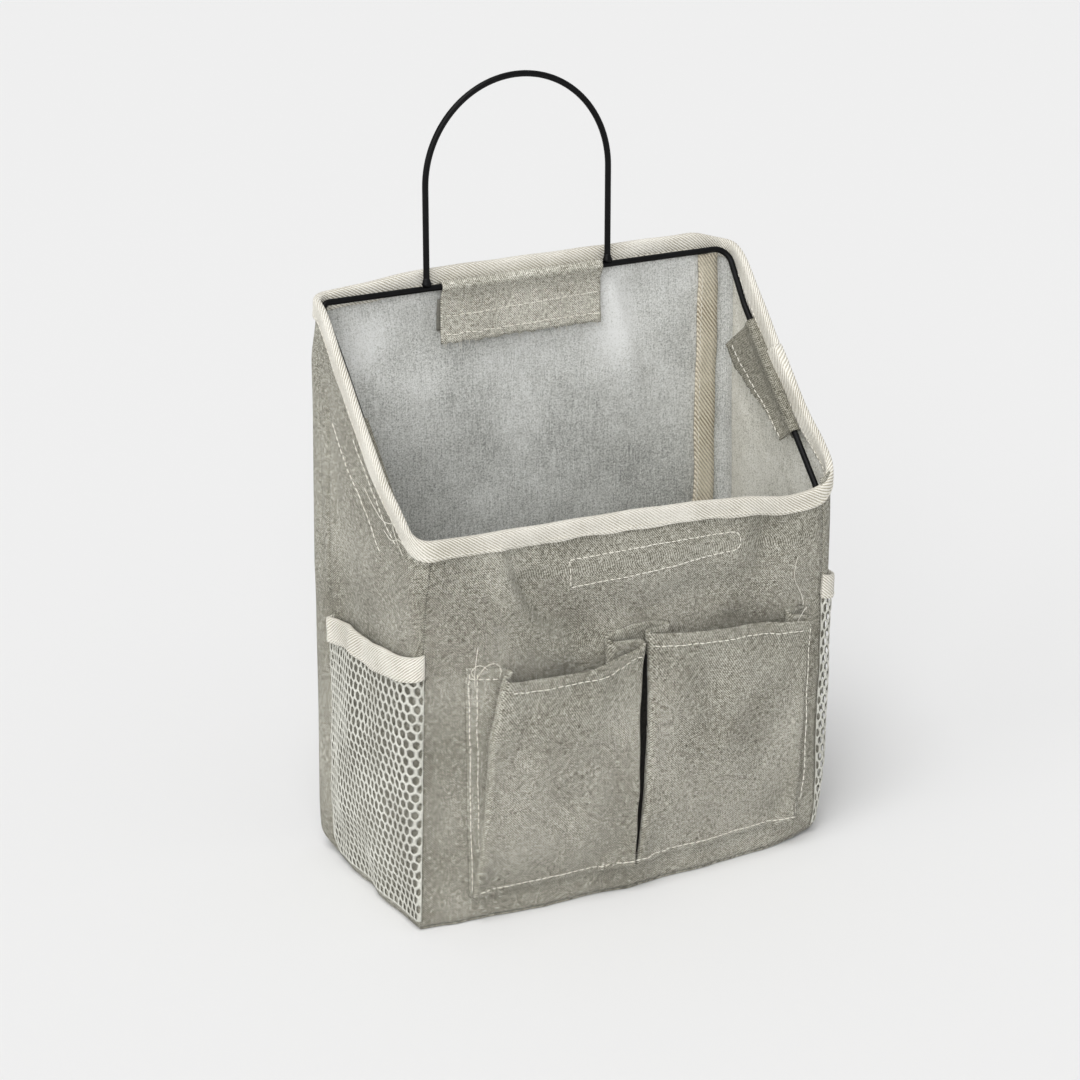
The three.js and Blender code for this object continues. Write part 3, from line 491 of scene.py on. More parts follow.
LINEN = woven("linen", srgb(70, 67, 55), srgb(149, 146, 132), srgb(216, 214, 203))
# Painted light: a brighter copy of the linen for the back flap, which is the same cloth as the rest.
LINEN_PAINTED_LIGHT = woven("linen_painted_light", srgb(110, 106, 92), srgb(188, 185, 171), srgb(242, 240, 230))
# Painted shade: a darker copy of the linen for the flaps that hang inside the bag.
LINEN_PAINTED_SHADE = woven("linen_painted_shade", srgb(72, 69, 58), srgb(129, 126, 112), srgb(180, 177, 165), 0.3)
# Painted shadow: a near-black copy of the linen for the pleats' hidden inner layers.
LINEN_PAINTED_FOLD_SHADOW = woven("linen_painted_fold_shadow", srgb(16, 15, 13), srgb(38, 37, 33), srgb(64, 62, 57), 0.3)
SILVER = (srgb(136, 137, 134), srgb(208, 209, 204), srgb(237, 238, 235), srgb(248, 249, 247))
COATED = coated("coated_lining", *SILVER)
# Painted light: a paler, creamier copy of the coating for the right wall's lining, standing in for light
# coming through the cloth.
PAINTED_LIGHT_CREAM = (srgb(170, 168, 156), srgb(232, 230, 219), srgb(246, 245, 238), srgb(252, 252, 250))
COATED_PAINTED_LIGHT = coated("lining_painted_light", *PAINTED_LIGHT_CREAM)
TAPE = twill("cream_tape", srgb(176, 168, 148), srgb(246, 243, 233), 1.2)
SEAM_TAPE = twill("seam_tape", srgb(150, 137, 114), srgb(232, 223, 203), 1.5)
THREAD = yarn("cream_thread", srgb(218, 213, 198), srgb(248, 246, 238))
NETTING = yarn("netting", srgb(178, 177, 167), srgb(226, 226, 217), scale=1.4)
HOOKS = yarn("hook_tape", srgb(112, 110, 102), srgb(150, 148, 139), scale=1.2, roughness=0.6)
LOOPS = yarn("loop_tape", srgb(126, 123, 112), srgb(170, 167, 156), scale=0.9, roughness=1.0)
ENAMEL = enamel()


# Meshes
def mesh_object(name, points, faces, uv=None, materials=(), face_materials=None):
    """A mesh piece from points in millimetres, with its uv map also in millimetres."""
    mesh = bpy.data.meshes.new(name)
    mesh.from_pydata((np.asarray(points) * MM).tolist(), [], [tuple(int(i) for i in f) for f in faces])
    for material in materials:
        mesh.materials.append(material)
    if face_materials is not None:
        mesh.polygons.foreach_set("material_index", np.asarray(face_materials, dtype=np.int32))
    mesh.polygons.foreach_set("use_smooth", np.full(len(mesh.polygons), True))
    layer = mesh.uv_layers.new(name="weave")
    if uv is not None:
        corner = np.empty(len(mesh.loops), dtype=np.int32)
        mesh.loops.foreach_get("vertex_index", corner)
        layer.data.foreach_set("uv", np.asarray(uv, dtype=np.float32)[corner].ravel())
    mesh.validate()
    obj = bpy.data.objects.new(name, mesh)
    bpy.context.scene.collection.objects.link(obj)
    return obj


def sheet_faces(m, n):
    """A closed sheet between two grids of points: the faces of its outside, its inside and its edge."""
    count = m * n
    grid = np.arange(count).reshape(m, n)
    a = grid[:-1, :-1].ravel()
    outside = np.stack([a, a + 1, a + n + 1, a + n], -1)
    ring = np.concatenate([grid[0, :-1], grid[:-1, -1], grid[-1, :0:-1], grid[:0:-1, 0]])
    after = np.roll(ring, -1)
    edge = np.stack([after, ring, ring + count, after + count], -1)
    return outside, outside[:, ::-1] + count, edge


def ring_faces(m, k, closed=False):
    """The faces between rings of k points."""
    i, j = np.meshgrid(np.arange(m if closed else m - 1), np.arange(k), indexing="ij")
    below, beside = (i + 1) % m, (j + 1) % k
    return np.stack([i * k + j, i * k + beside, below * k + beside, below * k + j], -1).reshape(-1, 4)


def facing_out(points, faces):
    """The same faces, turned so that they point out of the solid."""
    a, b, c, d = (points[faces[:, k]] for k in range(4))
    volume = np.sum(a * np.cross(b, c)) + np.sum(a * np.cross(c, d))
    return faces[:, ::-1] if volume < 0 else faces


def shell(name, outer, inner, uv, materials):
    """A closed sheet between two grids. Its outside, inside and edge take the materials in turn."""
    parts = sheet_faces(*outer.shape[:2])
    kinds = np.concatenate([np.full(len(f), min(k, len(materials) - 1)) for k, f in enumerate(parts)])
    points = np.concatenate([outer.reshape(-1, 3), inner.reshape(-1, 3)])
    faces = facing_out(points, np.concatenate(parts))
    return mesh_object(name, points, faces, np.concatenate([uv.reshape(-1, 2)] * 2), materials, kinds)


def loft(name, rings, uv, materials, closed=False, face_materials=None):
    """A closed solid through rings of points. An open run ends in strips across its ring."""
    m, k = rings.shape[:2]
    points = rings.reshape(-1, 3)
    faces = ring_faces(m, k, closed)
    if not closed:
        s = np.arange(k // 2 - 1)
        cap = np.stack([s, s + 1, k - 2 - s, k - 1 - s], -1)
        faces = np.concatenate([faces, cap[:, ::-1], cap + (m - 1) * k])
    return mesh_object(name, points, facing_out(points, faces), uv.reshape(-1, 2), materials, face_materials)


def unit(v):
    v = np.asarray(v, float)
    return v / np.maximum(np.linalg.norm(v, axis=-1, keepdims=True), 1e-12)


def lengths(points):
    """How far along a line each of its points lies."""
    return np.concatenate([[0], np.cumsum(np.linalg.norm(np.diff(points, axis=0), axis=1))])


def even(points, count):
    length = lengths(points)
    at = np.linspace(0, length[-1], count)
    return np.stack([np.interp(at, length, points[:, k]) for k in range(points.shape[1])], -1)


def along(points, count):
    """A smooth line through points, at even steps."""
    p = np.asarray(points, float)
    q = np.concatenate([[2 * p[0] - p[1]], p, [2 * p[-1] - p[-2]]])
    t = np.linspace(0, 1, 16, endpoint=False)[:, None]
    fine = []
    for a, b, c, d in zip(q[:-3], q[1:-2], q[2:-1], q[3:]):
        curve = 2 * b + (c - a) * t + (2 * a - 5 * b + 4 * c - d) * t**2 + (3 * b - a - 3 * c + d) * t**3
        fine.append(0.5 * curve)
    return even(np.concatenate(fine + [p[-1:]]), count)


def tangents(points, closed=False):
    points = np.asarray(points, float)
    if closed:
        return unit(np.roll(points, -1, 0) - np.roll(points, 1, 0))
    run = np.empty_like(points)
    run[1:-1] = points[2:] - points[:-2]
    run[0], run[-1] = points[1] - points[0], points[-1] - points[-2]
    return unit(run)


def tube_rings(points, radius, sides, closed=False):
    """Rings round a line, turned as little as possible from one to the next."""
    points = np.asarray(points, float)
    run = tangents(points, closed)
    side = np.cross(run[0], [0.3, 0.2, 0.93])
    across = []
    for t in run:
        side = unit(side - t * (side @ t))
        across.append(side)
    across = np.array(across)
    if closed:
        last = unit(across[-1] - run[0] * (across[-1] @ run[0]))
        twist = math.atan2(np.cross(last, across[0]) @ run[0], last @ across[0])
        share = np.linspace(0, 1, len(points))[:, None] * twist
        across = across * np.cos(share) + np.cross(run, across) * np.sin(share)
    angle = np.linspace(0, 2 * math.pi, sides, endpoint=False)[:, None]
    circle = across[:, None] * np.cos(angle) + np.cross(run, across)[:, None] * np.sin(angle)
    return points[:, None] + radius * circle


def tube_mesh(rings, closed=False):
    m, k = rings.shape[:2]
    faces = ring_faces(m, k, closed).tolist()
    if not closed:
        faces += [list(range(k))[::-1], list(range((m - 1) * k, m * k))]
    return rings.reshape(-1, 3), faces


def joined(name, parts, material):
    """One piece from several closed meshes."""
    points, faces, start = [], [], 0
    for part_points, part_faces in parts:
        points.append(part_points)
        faces += [[i + start for i in face] for face in part_faces]
        start += len(part_points)
    return mesh_object(name, np.concatenate(points), faces, None, [material])


def riding(obj, body="bag"):
    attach(obj, body)
    return obj


# Thread. A stitch is a short thread that tapers at both ends: places along its half length, and widths
STITCH_RINGS = [(-1.0, 0.25), (-0.62, 0.85), (0.0, 1.0), (0.62, 0.85), (1.0, 0.25)]
STITCH_STEPS, STITCH_SIDES = 6, 6


def stitch_parts(points, outward, length=2.8, gap=0.5, radius=0.25, wander=0.06):
    """Thread laid on cloth along a line, stitch by stitch. outward is the cloth's normal at each point."""
    points = np.asarray(points, float)
    count = max(2, int(lengths(points)[-1] / (length + gap)))
    fine = np.concatenate([points, np.broadcast_to(outward, points.shape)], 1)
    fine = even(fine, count * STITCH_STEPS + 1)
    angle = np.linspace(0, 2 * math.pi, STITCH_SIDES, endpoint=False)[:, None]
    parts = []
    for start in range(0, count * STITCH_STEPS, STITCH_STEPS):
        middle = fine[start + STITCH_STEPS // 2]
        up = unit(middle[3:])
        run = unit(fine[start + STITCH_STEPS, :3] - fine[start, :3])
        run = unit(run + unit(np.cross(up, run)) * rng.normal(0, wander))
        side = unit(np.cross(up, run))
        half = 0.5 * length * rng.uniform(0.85, 1.1)
        rings = []
        for s, w in STITCH_RINGS:
            centre = middle[:3] + run * s * half + up * (0.1 * radius - 0.45 * radius * s * s)
            rings.append(centre + w * radius * (side * np.cos(angle) * 1.15 + up * np.sin(angle)))
        parts.append(tube_mesh(np.array(rings)))
    return parts


def surface_line(points, lift=0.12):
    """Where points on the plain bag's outside lie on the cloth, and its normals there. A point is
    given with its plain normal."""
    place, normal = (np.array(values, float) for values in zip(*points))
    here = drape(place)
    side = np.cross(normal, [0, 0, 1.0])
    side[np.linalg.norm(side, axis=1) < 1e-6] = [1, 0, 0]
    other = np.cross(side, normal)
    a = drape(place + side) - drape(place - side)
    b = drape(place + other) - drape(place - other)
    up = unit(np.cross(a, b))
    up = up * np.sign(np.sum(up * (drape(place + normal) - here), axis=1, keepdims=True))
    return here + up * lift, up


def front_line(points, count=60):
    line = even(np.asarray(points, float), count)
    return surface_line([((x, -HD, z), (0, -1, 0)) for x, z in line])


def side_line(points, side, count=60):
    line = even(np.asarray(points, float), count)
    return surface_line([((side * HW, y, z), (side, 0, 0)) for y, z in line])


def thread_part(points, radius=0.17, count=24):
    return tube_mesh(tube_rings(along(points, count), radius, 5))


# Camera, light and floor. The camera looks at the middle of the bag from the photograph's angle.
YAW, PITCH, DISTANCE = -0.497011374, 0.347902565, 1384.054
AIM_HEIGHT, SHIFT_RIGHT, SHIFT_UP = 140, -19.2651, 16.4977
SENSOR, IMAGE_WIDTH, FOCAL_PIXELS = 36, 1080, 2889.313


def add_camera():
    back = Vector((math.sin(YAW) * math.cos(PITCH), -math.cos(YAW) * math.cos(PITCH), math.sin(PITCH)))
    right = Vector((math.cos(YAW), math.sin(YAW), 0))
    up = back.cross(right)
    eye = Vector((0, 0, AIM_HEIGHT)) + right * SHIFT_RIGHT + up * SHIFT_UP + back * DISTANCE
    camera = bpy.data.objects.new("camera", bpy.data.cameras.new("camera"))
    bpy.context.scene.collection.objects.link(camera)
    camera.matrix_world = Matrix.Translation(eye * MM) @ Matrix((right, up, back)).transposed().to_4x4()
    camera.data.sensor_width = SENSOR
    camera.data.lens = FOCAL_PIXELS / IMAGE_WIDTH * SENSOR
    camera.data.clip_end = 50
    bpy.context.scene.camera = camera


def soft_sun(name, energy, spread, toward):
    """A wide, soft light from a direction."""
    lamp = bpy.data.lights.new(name, "SUN")
    lamp.energy = energy
    lamp.angle = math.radians(spread)
    holder = bpy.data.objects.new(name, lamp)
    bpy.context.scene.collection.objects.link(holder)
    holder.rotation_euler = Vector(toward).to_track_quat("Z", "Y").to_euler()


def add_world(strength):
    world = bpy.data.worlds.new("studio")
    bpy.context.scene.world = world
    world.use_nodes = True
    background = world.node_tree.nodes["Background"]
    background.inputs["Color"].default_value = (1, 1, 1, 1)
    background.inputs["Strength"].default_value = strength


FLOOR_REACH, FLOOR_DROP = 9000, 0.4


def add_floor():
    signs = ((-1, -1), (1, -1), (1, 1), (-1, 1))
    corners = [(x * FLOOR_REACH, y * FLOOR_REACH, -FLOOR_DROP) for x, y in signs]
    floor = mesh_object("floor", corners, [(0, 1, 2, 3)])
    floor.data.materials.append(Nodes("pale_floor").finish(srgb(236, 236, 236), 0.9, Specular_IOR_Level=0.1))


add_camera()
add_world(0.45)
soft_sun("key", 1.42, 30, (-0.5, -0.45, 1.5))
soft_sun("front", 0.9, 30, (-0.55, -0.8, 0.45))
soft_sun("left", 0.5, 40, (-1.0, -0.25, 0.4))
add_floor()
bpy.context.scene.view_settings.view_transform = "Standard"

# Walls. A front corner's plan radius by height grows towards the rim.
LEFT_CORNER = ([0, 66, 134, 165, 190], [0.8, 2.2, 3.4, 5.6, RIM_RADIUS])
RIGHT_CORNER = ([0, 134, 190], [4.6, 6.0, RIM_RADIUS])
SEAM_GAP = 0.03
FINE_RUN, FINE_STEP = 16, 0.6


def corner_radius(z, side):
    return np.interp(z, *(LEFT_CORNER if side < 0 else RIGHT_CORNER))


def wall_grid(name, stations, count, lining=COATED, uv_start=0.0):
    """stations(t) gives plan points, their normals and the rim's height there, at a share of the height."""
    outer, inner, uv = [], [], []
    shares = np.linspace(0, 1, count)
    for t in shares - 0.035 * np.sin(2 * math.pi * shares):
        xy, normal, top = stations(t)
        z = WALL_BASE + (top - WALL_BASE) * t
        base = np.column_stack([xy, z])
        outer.append(drape(base))
        inner.append(drape(base - np.column_stack([normal, 0 * z]) * CLOTH))
        uv.append(np.stack([lengths(outer[-1][:, :2]) + uv_start, z], -1))
    obj = shell(name, np.array(outer), np.array(inner), np.array(uv), [LINEN, lining, LINEN])
    return riding(obj)


def front_stations(t):
    z = FRONT_HEIGHT * t
    x = np.linspace(-HW + corner_radius(z, -1) + SEAM_GAP, HW - corner_radius(z, 1) - SEAM_GAP, 96)
    return np.stack([x, np.full_like(x, -HD)], -1), np.tile([0.0, -1.0], (len(x), 1)), front_rim(x)


def side_stations(side):
    def stations(t):
        r = float(corner_radius(FRONT_HEIGHT * t, side))
        angle = np.linspace(math.pi / 2, 0, 9)
        arc = np.stack([side * (HW - r + r * np.cos(angle)), -HD + r - r * np.sin(angle)], -1)
        arc[0, 0] += side * SEAM_GAP
        fine = np.linspace(SEAM_Y - FINE_RUN + FINE_STEP, SEAM_Y - SEAM_GAP, 27)
        y = np.concatenate([np.linspace(-HD + r, SEAM_Y - FINE_RUN, 32)[1:], fine])
        xy = np.concatenate([arc, np.stack([np.full_like(y, side * HW), y], -1)])
        arc_normal = np.stack([side * np.cos(angle), -np.sin(angle)], -1)
        normal = np.concatenate([arc_normal, np.tile([float(side), 0.0], (len(y), 1))])
        return xy, normal, side_rim(xy[:, 1], side)

    return stations


def back_stations(_):
    """The back and both its round corners, the same at every height."""
    angle = np.linspace(0, math.pi / 2, 17)
    x = np.linspace(HW - BACK_RADIUS, -HW + BACK_RADIUS, 90)[1:-1]
    turn = np.stack([np.cos(angle), np.sin(angle)], -1)
    right_arc = [HW - BACK_RADIUS, SEAM_Y] + BACK_RADIUS * turn
    flip = np.array([-1, 1])
    xy = np.concatenate([right_arc, np.stack([x, np.full_like(x, HD)], -1), (right_arc * flip)[::-1]])
    normal = np.concatenate([turn, np.tile([0.0, 1.0], (len(x), 1)), (turn * flip)[::-1]])
    share = np.concatenate([angle, np.full(len(x), math.pi / 2), angle[::-1]]) / (math.pi / 2)
    return xy, normal, side_rim(xy[:, 1], 1) * (1 - share) + back_rim(xy[:, 0]) * share


front_wall = wall_grid("front_wall", front_stations, 76)
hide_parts("front_panel")
# The right wall's lining takes the coating with painted light.
for side, word, lining in ((-1, "left", COATED), (1, "right", COATED_PAINTED_LIGHT)):
    wall = wall_grid(f"{word}_wall", side_stations(side), 96, lining, 300 + 200 * side)
    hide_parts(f"{word}_panel")
back_wall = wall_grid("back_wall", back_stations, 96, uv_start=900)
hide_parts("back_panel")


def bottom():
    """Rings inside the walls' foot line, from the middle outwards."""
    right_xy, left_xy = (side_stations(side)(0)[0] for side in (1, -1))
    back_xy = back_stations(0)[0]
    ring = np.concatenate([front_stations(0)[0], right_xy[1:], back_xy[1:-1], left_xy[:0:-1]])
    shares = np.linspace(0.02, 1, 26)
    flat = np.array([np.column_stack([ring * share, np.zeros(len(ring))]) for share in shares])
    points = np.concatenate([drape(flat + [0, 0, height]).reshape(-1, 3) for height in (0, CLOTH)])
    m, k = len(ring), len(shares)
    under = ring_faces(k, m)
    over = under[:, ::-1] + m * k
    last = np.arange(m) + (k - 1) * m
    after = np.roll(last, -1)
    edge = np.stack([last + m * k, after + m * k, after, last], -1)
    middle = list(range(m))
    faces = under.tolist() + over.tolist() + edge.tolist() + [middle[::-1], [q + m * k for q in middle]]
    kinds = [0] * len(under) + [1] * len(over) + [0] * len(edge) + [0, 1]
    uv = np.concatenate([flat[..., :2].reshape(-1, 2)] * 2)
    obj = riding(mesh_object("bottom", points, faces, uv, [LINEN, COATED], kinds))
    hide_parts("bottom_panel")


bottom()

# Tape round the rim. Its end lies over its start, at the join on the right.
JOIN_Y, JOIN_POINTS, JOIN_THICKNESS = -3.0, 5, 1.2
OUTER_LEG_CUT, INNER_LEG_GROWTH = 0.22, 0.25
TILT_FRONT_RUN, TILT_BACK_RUN = 16, 14


def front_top(x, y):
    return front_rim(x)


def right_top(x, y):
    return side_rim(y, 1)


def back_top(x, y):
    return back_rim(x)


def left_top(x, y):
    return side_rim(y, -1)


def rim_path():
    """The walls' middle round the rim from the tape's join on: plan place, normal, height and tilt."""
    mid, r, quarter = CLOTH / 2, RIM_RADIUS, math.pi / 2
    parts = []

    def arc(corner_x, corner_y, radius, start, before, after):
        for a in np.linspace(start, start + quarter, 13)[1:-1]:
            nx, ny = math.cos(a), math.sin(a)
            x, y = corner_x + (radius - mid) * nx, corner_y + (radius - mid) * ny
            w = float(ease(a, start, start + quarter))
            parts.append((x, y, nx, ny, float(before(x, y) * (1 - w) + after(x, y) * w), 0.0))

    def line(xs, ys, normal, top, tilt):
        for x, y, w in zip(*np.broadcast_arrays(xs, ys, tilt)):
            parts.append((x, y, *normal, float(top(x, y)), w))

    ys = np.linspace(-HD + r, SEAM_Y, 56)
    tilt = ease(ys, -HD + r, -HD + r + TILT_FRONT_RUN) * (1 - ease(ys, SEAM_Y - TILT_BACK_RUN, SEAM_Y))
    line(np.linspace(-HW + r, HW - r, 90), -HD + mid, (0, -1), front_top, 0.0)
    arc(HW - r, -HD + r, r, -quarter, front_top, right_top)
    start = len(parts) + int(np.argmin(np.abs(ys - JOIN_Y)))
    line(HW - mid, ys, (1, 0), right_top, tilt)
    arc(HW - BACK_RADIUS, SEAM_Y, BACK_RADIUS, 0, right_top, back_top)
    line(np.linspace(HW - BACK_RADIUS, -HW + BACK_RADIUS, 90), HD - mid, (0, 1), back_top, 0.0)
    arc(-HW + BACK_RADIUS, SEAM_Y, BACK_RADIUS, quarter, back_top, left_top)
    line(-HW + mid, ys[::-1], (-1, 0), left_top, tilt[::-1])
    arc(-HW + r, -HD + r, r, math.pi, left_top, front_top)
    return np.roll(np.array(parts), -start, 0)


def rim_frames():
    """The rim's line, its outward normals and the tape's upward directions."""
    path = rim_path()
    centre = path[:, [0, 1, 4]]
    normal = np.column_stack([path[:, 2:4], np.zeros(len(path))])
    slope = np.cross(normal, tangents(centre, True))
    slope = slope * np.sign(slope[:, 2:3])
    upward = unit(slope * path[:, 5:6] + np.array([0, 0, 1.0]) * (1 - path[:, 5:6]))
    return centre, normal, upward


def mirrored(half):
    """Half a section, and the same half again on the other side."""
    return half + [(-x, y) for x, y in reversed(half)]


OUTER_HALF = [(1.75, -7.6), (1.98, -7.2), (1.95, -5.4), (2.05, -3.0)]
OUTER_HALF += [(1.98, -0.6), (1.8, 0.5), (1.3, 1.15), (0.5, 1.4)]
INNER_HALF = [(-0.95, -7.6), (-0.9, -7.2), (-0.88, -5.4), (-0.88, -3.0)]
INNER_HALF += [(-0.88, -0.6), (-0.85, 0.1), (-0.7, 0.35), (-0.3, 0.45)]
RIM_SECTION = mirrored(OUTER_HALF) + mirrored(INNER_HALF)


def tape_loft(name, frames, section, wave, seed, join=0, over=None, legs=None, thin=None):
    """A tape folded over an edge. over thickens it, legs lengthen its two sides and thin draws it in,
    each point by point, and join is how many points at the end lie over its start."""
    centre, normal, upward = frames
    ring = np.array(section)
    swell = (ring[:, 0] / 1.2).clip(-1, 1)
    thicker = np.stack([np.where(swell < 0, swell, 0.35 * swell), 0.3 * np.clip(ring[:, 1] + 1, 0, 1)], -1)
    girth, length = lengths(ring), lengths(drape(centre))
    over = np.zeros(len(centre)) if over is None else over
    legs = np.ones((len(centre), 2)) if legs is None else legs
    thin = np.ones(len(centre)) if thin is None else thin
    low_share = np.clip(-ring[:, 1] / 8, 0, 1)
    rings, uv = [], []
    for i in range(len(centre)):
        s = length[i] if i < len(centre) - join else length[i] - length[-join]
        shape = ring + thicker * over[i]
        leg = np.where(ring[:, 0] > 0, legs[i, 0], legs[i, 1])
        shape[:, 1] = shape[:, 1] * np.where(ring[:, 1] < 0, leg, 1)
        low = 0.3 * math.sin(s / 9.0 + seed) + 0.25 * math.sin(s / 3.7 + 2 * seed)
        across = shape[:, 0] * thin[i] + wave * np.sin(s / 7.3 + seed + ring[:, 1] * 0.3) * low_share
        above = shape[:, 1] + low * low_share + 0.12 * math.sin(s / 5.1 + 3 * seed)
        rings.append(centre[i] + normal[i] * across[:, None] + upward[i] * above[:, None])
        uv.append(np.stack([np.full(len(ring), length[i]), girth], -1))
    return riding(loft(name, drape(np.array(rings)), np.array(uv), [TAPE]))


def rim_tape():
    frames = rim_frames()
    centre, normal, upward = frames
    again = np.concatenate([np.arange(len(centre)), np.arange(JOIN_POINTS)])
    over = JOIN_THICKNESS * ease(np.arange(len(again)), len(again) - 14, len(again) - 4)
    on_left = ease(-centre[:, 0], HW - 6, HW - 2) * ease(SEAM_Y - centre[:, 1], -2, 12)
    on_left = on_left * ease(centre[:, 1], -48, -30)
    legs = np.stack([1 - OUTER_LEG_CUT * on_left, 1 + INNER_LEG_GROWTH * on_left], -1)
    tape_frames = [values[again] for values in frames]
    tape = tape_loft("rim_tape", tape_frames, RIM_SECTION, 0.25, 1, JOIN_POINTS, over, legs[again])
    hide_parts("rim_binding")
    stitches = []
    for sign, leg in zip((1, -1), legs.T):
        below = upward * 6.1 * leg[:, None]
        line = drape(centre + normal * 2.0 * sign - below)
        outward = unit(drape(centre + normal * 3.0 * sign - below) - line)
        line, outward = (np.concatenate([values, values[:1]]) for values in (line, outward))
        stitches += stitch_parts(line + outward * 0.05, outward, 2.4, 0.7, 0.2)
    riding(joined("rim_stitching", stitches, THREAD))


rim_tape()


# Wire frame
def rounded(corners, steps=12):
    """A closed line through corners, each an arc of its own radius, with short straight steps between."""
    arcs = []
    for i, (at, radius) in enumerate(corners):
        places = (corners[i - 1][0], at, corners[(i + 1) % len(corners)][0])
        before, at, after = (np.array(p, float) for p in places)
        inward, onward = unit(at - before), unit(after - at)
        turn = math.acos(np.clip(inward @ onward, -1, 1))
        start = at - inward * radius * math.tan(turn / 2)
        middle = at + unit(onward - inward) * radius / math.cos(turn / 2)
        arm = start - middle
        sweep = np.cross(unit(np.cross(inward, onward)), arm)
        arcs.append([middle + arm * math.cos(a) + sweep * math.sin(a) for a in np.linspace(0, turn, steps)])
    points = []
    for arc, following in zip(arcs, arcs[1:] + arcs[:1]):
        points += arc
        points += list(np.linspace(arc[-1], following[0], 10)[1:-1])
    return np.array(points)


def wire(name, node, rings, closed=False):
    obj = riding(mesh_object(name, *tube_mesh(rings, closed), None, [ENAMEL]))
    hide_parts(node)


def wire_ring():
    corners = [((BAR_X[1], BACK_BAR_Y, BACK_BAR_Z), 8), ((BAR_X[-1] - 2.6, BACK_BAR_Y, BACK_BAR_Z), 4)]
    corners += [((BAR_X[-1], KNEE_Y, KNEE_Z), 40), ((BAR_X[-1], -BACK_BAR_Y, FRONT_BAR_Z), 8)]
    corners += [((BAR_X[1], -BACK_BAR_Y, FRONT_BAR_Z), 8), ((BAR_X[1], KNEE_Y, KNEE_Z), 40)]
    wire("wire_ring", "rim_wire", tube_rings(rounded(corners), WIRE_R, 20, True), True)


def wire_arch():
    radius = ARCH_SPAN / 2
    springing = BACK_BAR_Z + ARCH_HEIGHT - radius - WIRE_R
    foot = BACK_BAR_Z + WIRE_R + 0.2
    line = [(ARCH_X + radius, z) for z in np.linspace(foot, springing, 12)[:-1]]
    for a in np.linspace(0, math.pi, 60):
        line.append((ARCH_X + radius * math.cos(a), springing + radius * math.sin(a)))
    line += [(ARCH_X - radius, z) for z in np.linspace(springing, foot, 12)[1:]]
    wire("wire_arch", "hanger_arch", tube_rings([(x, BACK_BAR_Y, z) for x, z in line], WIRE_R, 20))


# A weld bead's outline: radius and height over the bar
BEAD = [(0.2, 1.2), (1.75, 1.2), (2.35, 1.9), (2.3, 2.6), (1.95, 3.4), (1.66, 4.4), (1.55, 5.2), (0.2, 5.3)]


def weld_bead(side, word):
    a = np.linspace(0, 2 * math.pi, 20, endpoint=False)
    foot_x = ARCH_X + side * ARCH_SPAN / 2
    rings = []
    for r, z in BEAD:
        dented = r * (1 + 0.06 * np.sin(3 * a + z) * (r > 1.6))
        height = np.full(len(a), BACK_BAR_Z + z)
        rings.append(np.stack([foot_x + dented * np.cos(a), BACK_BAR_Y + dented * np.sin(a), height], -1))
    wire(f"{word}_weld_bead", f"{word}_weld", np.array(rings))


wire_ring()
wire_arch()
weld_bead(-1, "left")
weld_bead(1, "right")

# Inner seam tapes
SEAM_W, SEAM_T = 11.0, 1.6
BACK_INSET, FRONT_INSET, BACK_SLANT = 6.0, 3.5, 3.0
TAPE_FOOT, LEFT_TAPE_TOP = 4.2, 246.0


def seam_tape_loft(name, line, across, outward, seed):
    """A flat tape along a line. across and outward are directions in the plain bag."""
    w, t = SEAM_W / 2, SEAM_T / 2
    section = [(-w, -t), (-w / 2, -t), (0, -t), (w / 2, -t), (w, -t), (w + 0.1, 0)]
    section += [(w, t), (w / 2, t * 1.15), (0, t), (-w / 2, t * 1.15), (-w, t), (-w - 0.1, 0)]
    section = np.array(section)
    rings, uv = [], []
    for c, s in zip(line, lengths(line)):
        a = section[:, 0] + 0.3 * (math.sin(s / 13 + seed) + 0.5 * math.sin(s / 5.3 + seed))
        o = section[:, 1] + 0.2 * math.sin(s / 8 + seed) * np.sin(section[:, 0] * 0.4)
        rings.append(c + np.outer(a, across) + np.outer(o, outward))
        uv.append(np.stack([np.full(len(a), s), section[:, 0] + 20], -1))
    return riding(loft(name, drape(np.array(rings)), np.array(uv), [SEAM_TAPE]))


def seam_tape_line(wall_sign, side):
    """The middle line of an upright seam tape, with its directions and its top. The back left one lies
    on the left wall, and the others lie on the front and back."""
    if wall_sign > 0 and side < 0:
        z = np.linspace(TAPE_FOOT, LEFT_TAPE_TOP, 70)
        x = np.full_like(z, -HW + CLOTH + GAP + SEAM_T / 2)
        y = np.full_like(z, SEAM_Y - 1.5 - SEAM_W / 2)
        return np.stack([x, y, z], -1), (0, 1, 0), (1, 0, 0), LEFT_TAPE_TOP
    on_back = wall_sign > 0
    top = float(side_rim(SEAM_Y, side)) - 3.5 if on_back else FRONT_HEIGHT - FRONT_DIP - 13.5
    z = np.linspace(TAPE_FOOT, top, 70)
    inset = (BACK_INSET if on_back else FRONT_INSET) + BACK_SLANT * (1 - z / top) * on_back
    x = side * (HW - CLOTH - inset - SEAM_W / 2)
    y = np.full_like(z, wall_sign * (HD - CLOTH - GAP - SEAM_T / 2))
    return np.stack([x, y, z], -1), (side, 0, 0), (0, -wall_sign, 0), top


for wall_sign, wall_word in ((1, "back"), (-1, "front")):
    for side, side_word in ((-1, "left"), (1, "right")):
        line, across, outward, top = seam_tape_line(wall_sign, side)
        across, outward = np.array(across, float), np.array(outward, float)
        name = f"{wall_word}_{side_word}_inner_tape"
        obj = seam_tape_loft(name, line, across, outward, side + 2 * wall_sign)
        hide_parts(f"{wall_word}_{side_word}_seam_tape")
        sewn = line[2:-2] - across * (SEAM_W / 2 - 1.6) + outward * (SEAM_T / 2)
        parts = stitch_parts(*surface_line([(p, outward) for p in sewn]), 2.4, 0.8, 0.18)
        riding(joined(f"{name}_stitching", parts, THREAD))


